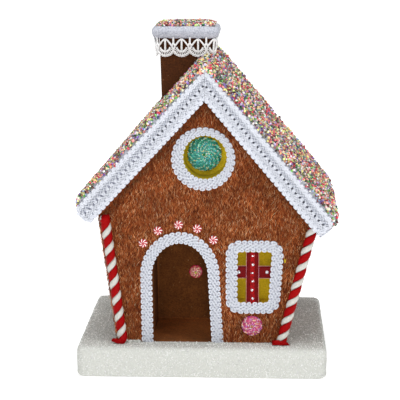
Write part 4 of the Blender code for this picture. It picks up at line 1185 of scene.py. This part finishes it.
def makeSweets():
    rng = random.Random(8)
    teal = {
        "between": [(rgb(10, 128, 114), 5), (rgb(20, 150, 134), 4), (rgb(6, 96, 88), 3)],
        "arms": [(rgb(150, 240, 222), 6), (rgb(104, 218, 204), 5), (rgb(255, 234, 160), 2.2),
                 (rgb(252, 180, 130), 1.4), (rgb(255, 252, 244), 1.4)],
    }
    rose = {
        "between": [(rgb(188, 16, 88), 5), (rgb(146, 28, 150), 4), (rgb(214, 50, 110), 4), (rgb(76, 70, 184), 2.4)],
        "arms": [(rgb(246, 134, 180), 4.6), (rgb(252, 222, 96), 2.6), (rgb(255, 252, 250), 2.6),
                 (rgb(206, 106, 212), 2.6)],
    }
    coral = {
        "between": [(rgb(226, 26, 84), 5), (rgb(246, 84, 108), 3), (rgb(186, 14, 92), 3)],
        "arms": [(rgb(255, 236, 190), 5), (rgb(255, 240, 96), 4), (rgb(255, 190, 214), 3), (rgb(255, 255, 250), 3)],
    }
    for name, slot, look, tints, beadLook in (
        ("teal_candy", "teal_glitter", tealSugar, teal, greenShell),
        ("doorway_candy", "pink_glitter", coralSugar, coral, pearlShell),
        ("pink_candy", "pink_glitter", pinkSugar, rose, copperShell),
    ):
        spec = sweetSizes[name]
        centre = Vector((spec["x"], spec["back"], spec["z"]))

        def wave(angle, reach):  # -1 along the crest of an arm, 1 between two arms
            return math.cos(spec["arms"] * (angle + spec["bend"] * reach))

        def surface(angle, reach):
            notch = name == "pink_candy" and abs(angle - math.pi / 2) < 0.24 * reach and reach > 0.35
            if notch:
                return None
            dome = math.sqrt(max(0.0, 1 - 0.88 * reach ** 2))
            return spec["thick"] * (dome - sweetRidge * reach * wave(angle, reach))

        def armShare(angle, reach):
            if name == "doorway_candy" and reach > 0.86:
                return 0.0
            return 0.5 - 0.5 * wave(angle, reach)

        bm = domedDisc(spec["radius"] * 0.97, spec["thick"], centre, 48)
        for vert in bm.verts:
            offset = vert.co - centre
            reach = math.hypot(offset.x, offset.z) / spec["radius"]
            if offset.y < -spec["thick"] * 0.3:
                vert.co.y += spec["thick"] * sweetRidge * reach * wave(math.atan2(offset.z, offset.x), reach)
        disc = meshOf(bm, name, smooth=True)
        grains = sugarGrains(rng, spec, surface, armShare, tints)
        grains.materials.append(paintedGlowGlitter if name == "doorway_candy" else glitterFlake)
        bead = ballMesh(beadRadius, centre + front * (spec["thick"] + beadRadius * 0.6))
        beadNode = name + ("_bead" if name == "teal_candy" else "_pearl")
        showPiece(name + "_sweet", gathered(name, [(disc, look), (bead, beadLook)]), slot, [name, beadNode])
        showPiece(name + "_sugar", grains, slot)
    for number, (x, z) in enumerate(mintSizes["places"], start=1):
        bm = domedDisc(mintSizes["radius"], mintSizes["thick"], (x, mintSizes["back"], z), 32)
        flat = bm.loops.layers.uv.new("UVMap")
        for face in bm.faces:
            for loop in face.loops:
                across = (loop.vert.co.x - x) / mintSizes["radius"], (loop.vert.co.z - z) / mintSizes["radius"]
                loop[flat].uv = across
        mint = gathered(f"mint {number}", [(meshOf(bm, "mint", smooth=True), sugarMint)])
        showPiece(f"mint_{number}", mint, "peppermint", [f"peppermint_{number}"])


ribbonSizes = {"x": 0.0454, "z": 0.0937, "width": 0.0112, "thick": 0.4 * mm, "reachX": 0.0165, "reachZ": 0.0238,
               "picot": 0.36 * mm, "picotPitch": 1.15 * mm, "stoneTop": 0.1088, "stonePitch": 0.0078, "stones": 6,
               "stoneRadius": 1.4 * mm, "crossStones": (0.0335, 0.0584)}


def satinStrip(length, width, centre, along, across, bow):  # a gently bowed strip
    bm = bmesh.new()
    bmesh.ops.create_grid(bm, x_segments=30, y_segments=8, size=0.5)
    for vert in bm.verts:
        u, v = vert.co.x, vert.co.y
        spot = centre + along * u * length + across * v * width
        ripple = 0.12 * mm * noise.noise(Vector((u * 9, v * 3, length * 100)))
        vert.co = spot + front * (bow * (1 - 4 * v * v) + ripple)
    bmesh.ops.solidify(bm, geom=bm.faces[:], thickness=ribbonSizes["thick"] * 0.7)
    return meshOf(bm, "satin", smooth=True)


def makeRibbons():
    r = ribbonSizes
    bead = bmesh.new()
    bmesh.ops.create_icosphere(bead, subdivisions=1, radius=1.0)
    bead = meshOf(bead, "picot")
    face = wallSizes["front"] + 0.2 * mm
    right = Vector((1, 0, 0))
    for way, along, across, length, centre in (
        ("upright", up, right, 2 * r["reachZ"], Vector((r["x"], face - 0.9 * mm, windowSizes["z"]))),
        ("cross", right, up, 2 * r["reachX"], Vector((windowSizes["x"], face, r["z"]))),
    ):
        strip = satinStrip(length, r["width"] * 0.94, centre, along, across, 0.8 * mm)
        places = []
        count = int(length / r["picotPitch"])
        for i in range(count):
            for edge in (-1, 1):
                spot = centre + along * length * ((i + 0.5) / count - 0.5) + across * edge * r["width"] / 2
                matrix = standing(spot + front * 0.3 * mm, right, front, up, (r["picot"],) * 3)
                places.append((0, matrix, (1, 1, 1)))
        picots = grown([bead], places)
        parts = [(strip, ribbonSatin), (picots, picotThread)]
        if way == "upright":  # painted highlight: a brighter strip along its middle
            paintedHighlightStrip = satinStrip(length, r["width"] * 0.36, centre + front * 0.72 * mm, along, across, 0.25 * mm)
            parts.append((paintedHighlightStrip, ribbonPaintedHighlight))
        showPiece("ribbon_satin_" + way, gathered("ribbon", parts), "ribbon", ["ribbon_" + way])
    gem = bmesh.new()
    bmesh.ops.create_cone(gem, cap_ends=True, segments=6, radius1=1.0, radius2=0.35, depth=0.7)
    bmesh.ops.translate(gem, verts=gem.verts, vec=(0, 0, 0.45))
    gem = meshOf(gem, "gem")
    claw = bmesh.new()
    bmesh.ops.create_cone(claw, cap_ends=True, segments=12, radius1=1.18, radius2=1.08, depth=0.3)
    claw = meshOf(claw, "claw")
    spots = [Vector((r["x"], face - 1.4 * mm, r["stoneTop"] - i * r["stonePitch"])) for i in range(r["stones"])]
    spots += [Vector((x, face - 0.6 * mm, r["z"])) for x in r["crossStones"]]
    rng = random.Random(4)
    places = []
    for spot in spots:
        side, deep, along = randomTurn(rng, front, 0.35)
        places.append((0, standing(spot, side, deep, along, (r["stoneRadius"],) * 3), (1, 1, 1)))
    mesh = gathered("rhinestones", [(grown([gem], places), stoneGlass), (grown([claw], places), stoneClaw)])
    showPiece("rhinestones", mesh, "rhinestone", [f"rhinestone_{i}" for i in range(1, len(spots) + 1)])


# Candy cane cords

cordSizes = {"thick": 1.95 * mm, "wide": (3.45 * mm, 2.7 * mm), "offset": 2.75 * mm, "capLength": 5.0 * mm,
             "capWide": (5.0 * mm, 4.6 * mm), "ribs": 7, "ribDepth": 0.05, "ribTwist": 0.5, "footZ": 0.0286,
             "offWall": 5.3 * mm, "tuftThreads": 60,
             "left": {"foot": -0.0713, "lean": 0.134, "pitch": 15.4 * mm, "phase": 2.75, "headroom": 9.0 * mm},
             "right": {"foot": 0.0712, "lean": 0.258, "pitch": 16.7 * mm, "phase": 1.40, "headroom": 1.0 * mm},
             "tuft": {"left": (0.6, 9.6 * mm, 0.0), "right": (1.1, 9.8 * mm, 6.0 * mm)}}


def swept(name, rings):  # a closed solid along rings whose points stay paired
    bm = bmesh.new()
    rows = [[bm.verts.new(point) for point in ring] for ring in rings]
    for near, far in zip(rows, rows[1:]):
        for i in range(len(near)):
            bm.faces.new((near[i - 1], near[i], far[i], far[i - 1]))
    bm.faces.new(rows[0])
    bm.faces.new(rows[-1])
    return meshOf(bm, name, smooth=True)


def strandRings(centre, radial, ahead, broad, count):
    # flattened sections along a line: centre, radial and ahead give the frame at a share of the way
    c = cordSizes
    rings = []
    for i in range(count + 1):
        share = i / count
        spot, out, forward = centre(share), radial(share), ahead(share)
        forward = forward.normalized()
        out = (out - forward * out.dot(forward)).normalized()
        wide = forward.cross(out)
        ring = []
        for j in range(c["ribs"] * 4):
            a = math.tau * j / (c["ribs"] * 4)
            ridge = 1 - c["ribDepth"] * (1 + math.cos(a * c["ribs"] + c["ribTwist"] * i))
            ring.append(spot + (out * c["thick"] * math.cos(a) + wide * broad * math.sin(a)) * ridge)
        rings.append(ring)
    return rings


def underEave(y, hand, foot, lean, headroom):
    gable = gableAt(y)
    slope = math.tan(math.radians(gable["left"] if hand < 0 else gable["right"]))
    ceiling = gable["apexZ"] - headroom - slope * abs(foot.x - gable["apexX"])
    rise = (ceiling - foot.z) / (1 + lean * slope)
    return Vector((foot.x + hand * lean * rise, y, foot.z + rise))


def footTuft(rng, foot, hand):
    # where the red strand ends: threads that hook over outwards at the left and fray at the right
    lines = []
    spread, length, behind = cordSizes["tuft"]["left" if hand < 0 else "right"]
    for _ in range(cordSizes["tuftThreads"]):
        turn, lift = rng.uniform(-spread, spread), rng.random()
        reach = length * rng.uniform(0.75, 1.1)
        start = foot + Vector((-hand * (behind + rng.uniform(-1.0, 2.0) * mm), -rng.uniform(1.0, 4.5) * mm,
                               3.4 * lift * mm))
        end = start + Vector((hand * (reach + behind * 0.7) * math.cos(turn), -1.2 * mm * abs(math.sin(turn)),
                              -1.6 * mm * lift))
        middle = start.lerp(end, 0.5) + up * rng.uniform(0.4, 1.6) * mm
        if hand < 0:
            end.z += rng.uniform(1.2, 2.6) * mm
            middle.z -= 1.2 * mm
        for point in (start, middle, end):
            point.z = max(point.z, baseSizes["height"] + 0.5 * mm)
        lines.append([start, start.lerp(middle, 0.6), middle, middle.lerp(end, 0.5), end])
    return tubes("tuft", lines, 0.6 * mm, radii=[0.9, 1.1, 1.1, 1.0, 0.6])


def topCap(top, axis):  # the red strand's end, tucked under the eave
    bm = bmesh.new()
    bmesh.ops.create_uvsphere(bm, u_segments=20, v_segments=12, radius=1.0)
    bmesh.ops.scale(bm, vec=(*cordSizes["capWide"], cordSizes["capLength"]), verts=bm.verts)
    lean = axis.to_track_quat("Z", "Y").to_matrix().to_4x4()
    bmesh.ops.transform(bm, verts=bm.verts, matrix=Matrix.Translation(top) @ lean)
    return meshOf(bm, "cap", smooth=True)


def makeCords():
    c = cordSizes
    rng = random.Random(12)
    for faceY, where, sign in ((wallSizes["front"], "front", -1), (wallSizes["back"], "back", 1)):
        for hand, name in ((-1, "left"), (1, "right")):
            own = c[name]
            y = faceY + sign * c["offWall"]
            foot = Vector((own["foot"], y, c["footZ"]))
            top = underEave(y, hand, foot, own["lean"], own["headroom"])
            axis = top - foot
            side = axis.cross(front).normalized()
            deep = side.cross(axis).normalized()
            turns = -math.tau * axis.length / own["pitch"]
            parts = []
            for strand, look in ((0, redSatin), (1, whiteSatin)):
                phase = math.pi * strand + own["phase"]

                def radial(share):
                    return side * math.cos(turns * share + phase) + deep * math.sin(turns * share + phase)

                def centre(share):
                    return foot + axis * share + radial(share) * c["offset"]

                def ahead(share):
                    return centre(share + 0.001) - centre(share - 0.001)

                rings = strandRings(centre, radial, ahead, c["wide"][strand], int(axis.length / own["pitch"] * 20))
                parts.append((swept("strand", rings), look))
            parts.append((footTuft(rng, foot, hand), redSatin))
            if hand < 0:
                parts.append((topCap(top - axis.normalized() * c["capLength"] * 0.5, axis), redSatin))
            showPiece(f"twisted_cord_{where}_{name}", gathered("cord", parts), "candy_cord",
                      [f"candy_cord_{where}_{name}"])


# Chimney: felt body, padded band, hanging lace and flakes on top

laceSizes = {"motifs": 14, "height": 17.5 * mm, "topOut": 4.6 * mm, "lowOut": 2.8 * mm, "thread": 0.92 * mm,
             "fine": 0.46 * mm, "firstLeafX": -0.0385, "fanTop": 8.1, "innerReach": 4.7, "reach": 8.4,
             "rim": 0.7 * mm}


def makeBand():
    c = chimneySizes
    height = c["topZ"] - c["bandZ"]
    rings = []
    steps = 12
    for i in range(steps + 1):
        turn = math.pi * i / steps
        grow = c["bulge"] * (0.45 + 0.55 * math.sin(turn))
        z = c["topZ"] - height * (1 + math.cos(turn)) / 2
        at, length = follower([Vector((p.x, p.y, z)) for p in chimneyOutline(z, grow, 8)], up, True)
        rings.append([at(length * s / 160)[0] for s in range(160)])
    for ring, z in ((rings[-1], c["topZ"]), (rings[0], c["topZ"] - 0.2 * mm), (rings[0], c["bandZ"])):
        middle = Vector((c["x"], c["y"], z))  # back along its inside
        rings.append([middle + (Vector((p.x, p.y, z)) - middle) * 0.86 for p in ring])
    bm = bmesh.new()
    bm.from_mesh(lofted("band", rings, closed=True))
    bm.normal_update()
    for vert in bm.verts:
        lump = noise.noise(vert.co * 150) * 0.45 + noise.noise(vert.co * 620) * 0.4
        vert.co += vert.normal * lump * mm
    showPiece("chimney_band_knit", gathered("band", [(meshOf(bm, "band", smooth=True), knitBorder)]),
              "white_braid", ["chimney_band"])


def makeLace():
    c, s = chimneySizes, laceSizes
    topZ = c["bandZ"] + 0.5 * mm
    outline = [Vector((p.x, p.y, topZ)) for p in chimneyOutline(topZ, s["topOut"], 10)]
    at, length = follower(outline, up, True)
    pitch = length / s["motifs"]
    leaf = Vector((s["firstLeafX"], c["y"] - c["depth"] / 2 - s["topOut"], topZ))
    start = min(np.linspace(0, length, 400), key=lambda reach: (at(reach)[0] - leaf).length)

    def spot(x, drop):  # x along the skirt, drop down it, in mm; it leans in towards the chimney
        place, side = at(start + x * mm)
        return place - up * drop * mm + side * (s["lowOut"] - s["topOut"]) * drop * mm / s["height"]

    def fan(x, reach, turn):  # a point of the motif's round fan, turn measured from straight down
        return spot(x + reach * math.sin(turn), s["fanTop"] + reach * math.cos(turn))

    thick, fine, rim = [], [], []
    half = pitch / mm / 2
    for motif in range(s["motifs"]):
        x = motif * pitch / mm
        for hand in (-1, 1):
            thick.append([spot(x + hand * dx, drop) for dx, drop in  # side of the pointed leaf
                          ((0.0, 1.0), (1.6, 2.0), (3.2, 3.6), (4.8, 5.8), (half - 1.2, 8.2))])
            thick.append([spot(x + hand * dx, drop) for dx, drop in  # stay from the bar round its little eye
                          ((half, 4.6), (half - 1.0, 6.4), (half - 1.3, 8.4), (half - 0.7, 10.0), (half, 11.2))])
        thick.append([spot(x, drop) for drop in (1.0, 4.0, 7.0, 10.0, 12.6)])
        thick.append([spot(x + half, drop) for drop in (-0.8, 1.5, 3.4, 5.2)])
        thick.append([fan(x, s["innerReach"], t) for t in np.linspace(-1.4, 1.4, 17)])
        rim.append([fan(x, s["reach"], t) for t in np.linspace(-1.24, 1.24, 21)])
        for t in np.linspace(-1.1, 1.1, 10):
            fine.append([fan(x, reach, t) for reach in (s["innerReach"], s["reach"])])
        for t in np.linspace(-1.02, 1.02, 9):
            fine.append([fan(x, s["reach"] + 0.3 + bump, t + turn)
                         for turn, bump in ((-0.1, 0.0), (-0.06, 1.0), (0.06, 1.0), (0.1, 0.0))])
    threads = ((thick, s["thread"]), (fine, s["fine"]), (rim, s["rim"]))
    parts = [(tubes("lace", lines, radius), laceCotton) for lines, radius in threads]
    showPiece("chimney_lace_skirt", gathered("lace", parts), "white_braid", ["chimney_lace"])


def makeHeap():
    c = chimneySizes
    rng = random.Random(17)
    places = []
    inner = bmesh.new()
    bmesh.ops.create_cube(inner, size=1.0)
    bmesh.ops.scale(inner, vec=(c["width"] * 1.02, c["depth"] * 1.02, 2.8 * mm), verts=inner.verts)
    bmesh.ops.translate(inner, vec=(c["x"], c["y"], c["topZ"] + 0.6 * mm), verts=inner.verts)
    bmesh.ops.bevel(inner, geom=inner.edges[:], offset=0.9 * mm, segments=3, profile=0.5, affect="EDGES",
                    material=-1)
    bedding = meshOf(inner, "bedding", smooth=True)
    halfX, halfY = c["width"] / 2 + 2 * mm, c["depth"] / 2 + 2 * mm
    for _ in range(c["heapFlakes"]):
        x, y = rng.uniform(-1, 1) * halfX, rng.uniform(-1, 1) * halfY
        fall = 1 - 0.75 * max(0, max(abs(x) / halfX, abs(y) / halfY) - 0.8) / 0.2  # lower towards the rim
        z = c["topZ"] + (2.5 + 1.5 * noise.noise(Vector((x, y, 0)) * 110)) * mm * fall
        size = rng.uniform(flakeSizes["small"], flakeSizes["large"]) * rng.uniform(0.8, 1.0)
        side, out, along = randomTurn(rng, up, flakeSizes["tilt"])
        tint = flakeTint(rng)
        shape, flat = rng.randrange(2), rng.uniform(0.5, 1.0)
        matrix = standing(Vector((c["x"] + x, c["y"] + y, z)), side, out, along,
                          (size, size * flat, size * flakeSizes["thick"]))
        places.append((shape, matrix, tint))
    grains = grown(flakeShapes(), places)
    showPiece("chimney_bedding", gathered("bedding", [(bedding, flakeGroundShade)]), "sprinkled", ["chimney_sprinkles"])
    grains.materials.append(candyFlake)
    showPiece("chimney_flakes", grains, "sprinkled")


# Felt parts keep their solids and take a felt finish

scrapSizes = {"x": 0.0744, "z": 0.1047, "width": 1.1 * mm, "height": 3.4 * mm, "thick": 1.0 * mm, "out": 2.2 * mm}


def makeScrap():  # a shred of the window's felt that shows past its braid
    c = scrapSizes
    bm = bmesh.new()
    bmesh.ops.create_cube(bm, size=1.0)
    bmesh.ops.scale(bm, vec=(c["width"], c["thick"], c["height"]), verts=bm.verts)
    bmesh.ops.bevel(bm, geom=bm.edges[:], offset=0.35 * mm, segments=2, profile=0.5, affect="EDGES", material=-1)
    bmesh.ops.translate(bm, vec=(c["x"], wallSizes["front"] - c["out"], c["z"]), verts=bm.verts)
    showPiece("window_felt_scrap", gathered("scrap", [(meshOf(bm, "scrap", smooth=True), oliveFelt)]), "olive_felt")


def dressFelt():
    for name, look in (("doorway_lining", doorFelt), ("square_window_lining", paintedLightOliveFelt),
                       ("round_window_lining", oliveFelt), ("chimney", brownFelt)):
        nodes[name].data.materials.clear()
        nodes[name].data.materials.append(look)


# Camera, light and floor

cameraSizes = {"place": (0.053, -1.405, 0.412), "turn": -2.36, "tip": -10.75, "lens": 136.8}


def makeStudio():
    c = cameraSizes
    camera = bpy.data.objects.new("camera", bpy.data.cameras.new("camera"))
    bpy.context.scene.collection.objects.link(camera)
    camera.data.lens, camera.data.sensor_width = c["lens"], 36
    camera.data.clip_start, camera.data.clip_end = 0.05, 30
    turn, tip = math.radians(c["turn"]), math.radians(c["tip"])
    ahead = Vector((math.sin(turn) * math.cos(tip), math.cos(turn) * math.cos(tip), math.sin(tip)))
    camera.location = c["place"]
    camera.rotation_euler = ahead.to_track_quat("-Z", "Y").to_euler()
    bpy.context.scene.camera = camera
    bpy.context.scene.view_settings.view_transform = "Standard"
    bm = bmesh.new()
    bmesh.ops.create_grid(bm, x_segments=1, y_segments=1, size=6.0)
    floor = bpy.data.objects.new("floor", meshOf(bm, "floor"))
    bpy.context.scene.collection.objects.link(floor)
    pale, tree, shader = startLook("pale floor", (0.9, 0.9, 0.9), 0.9)
    shader.inputs["Emission Color"].default_value = (1, 1, 1, 1)
    where = addNode(tree, "TexCoord")  # it glows further out, as a white sweep does
    reach = addNode(tree, "VectorMath", {0: where.outputs["Object"]}, operation="LENGTH")
    glow = addNode(tree, "MapRange", {"Value": reach.outputs["Value"], "From Min": 0.25, "From Max": 0.9,
                                      "To Min": 0.45, "To Max": 1.0})
    tree.links.new(glow.outputs["Result"], shader.inputs["Emission Strength"])
    floor.data.materials.append(pale)
    world = bpy.data.worlds.new("studio")
    bpy.context.scene.world = world
    world.use_nodes = True
    world.node_tree.nodes["Background"].inputs["Color"].default_value = (1.0, 1.0, 1.0, 1)
    world.node_tree.nodes["Background"].inputs["Strength"].default_value = 0.24
    for name, place, target, size, power in (
        ("front softbox", (-0.70, -1.55, 1.00), (0, 0, 0.14), 0.9, 7.7),
        ("camera softbox", (0.08, -1.80, 0.42), (0, 0, 0.12), 0.45, 7.3),
        ("right softbox", (1.15, -0.75, 1.05), (0.05, 0, 0.1), 0.9, 9),
        ("top softbox", (-0.12, -0.1, 1.6), (0.03, 0, 0.05), 1.0, 16.5),
    ):
        light = bpy.data.lights.new(name, "AREA")
        light.shape, light.size, light.energy = "DISK", size, power
        lamp = bpy.data.objects.new(name, light)
        lamp.location = place
        lamp.rotation_euler = (Vector(target) - Vector(place)).to_track_quat("-Z", "Y").to_euler()
        bpy.context.scene.collection.objects.link(lamp)


for label, job in (("base", makeBase), ("glitter", makeGlitter), ("snow crumbs", makeCrumbs),
                   ("walls", makeWalls), ("roof", makeRoof), ("braids", makeBraids), ("sweets", makeSweets),
                   ("ribbons", makeRibbons), ("cords", makeCords), ("band", makeBand), ("lace", makeLace),
                   ("heap", makeHeap), ("scrap", makeScrap), ("felt", dressFelt), ("studio", makeStudio)):
    print("making", label)
    job()
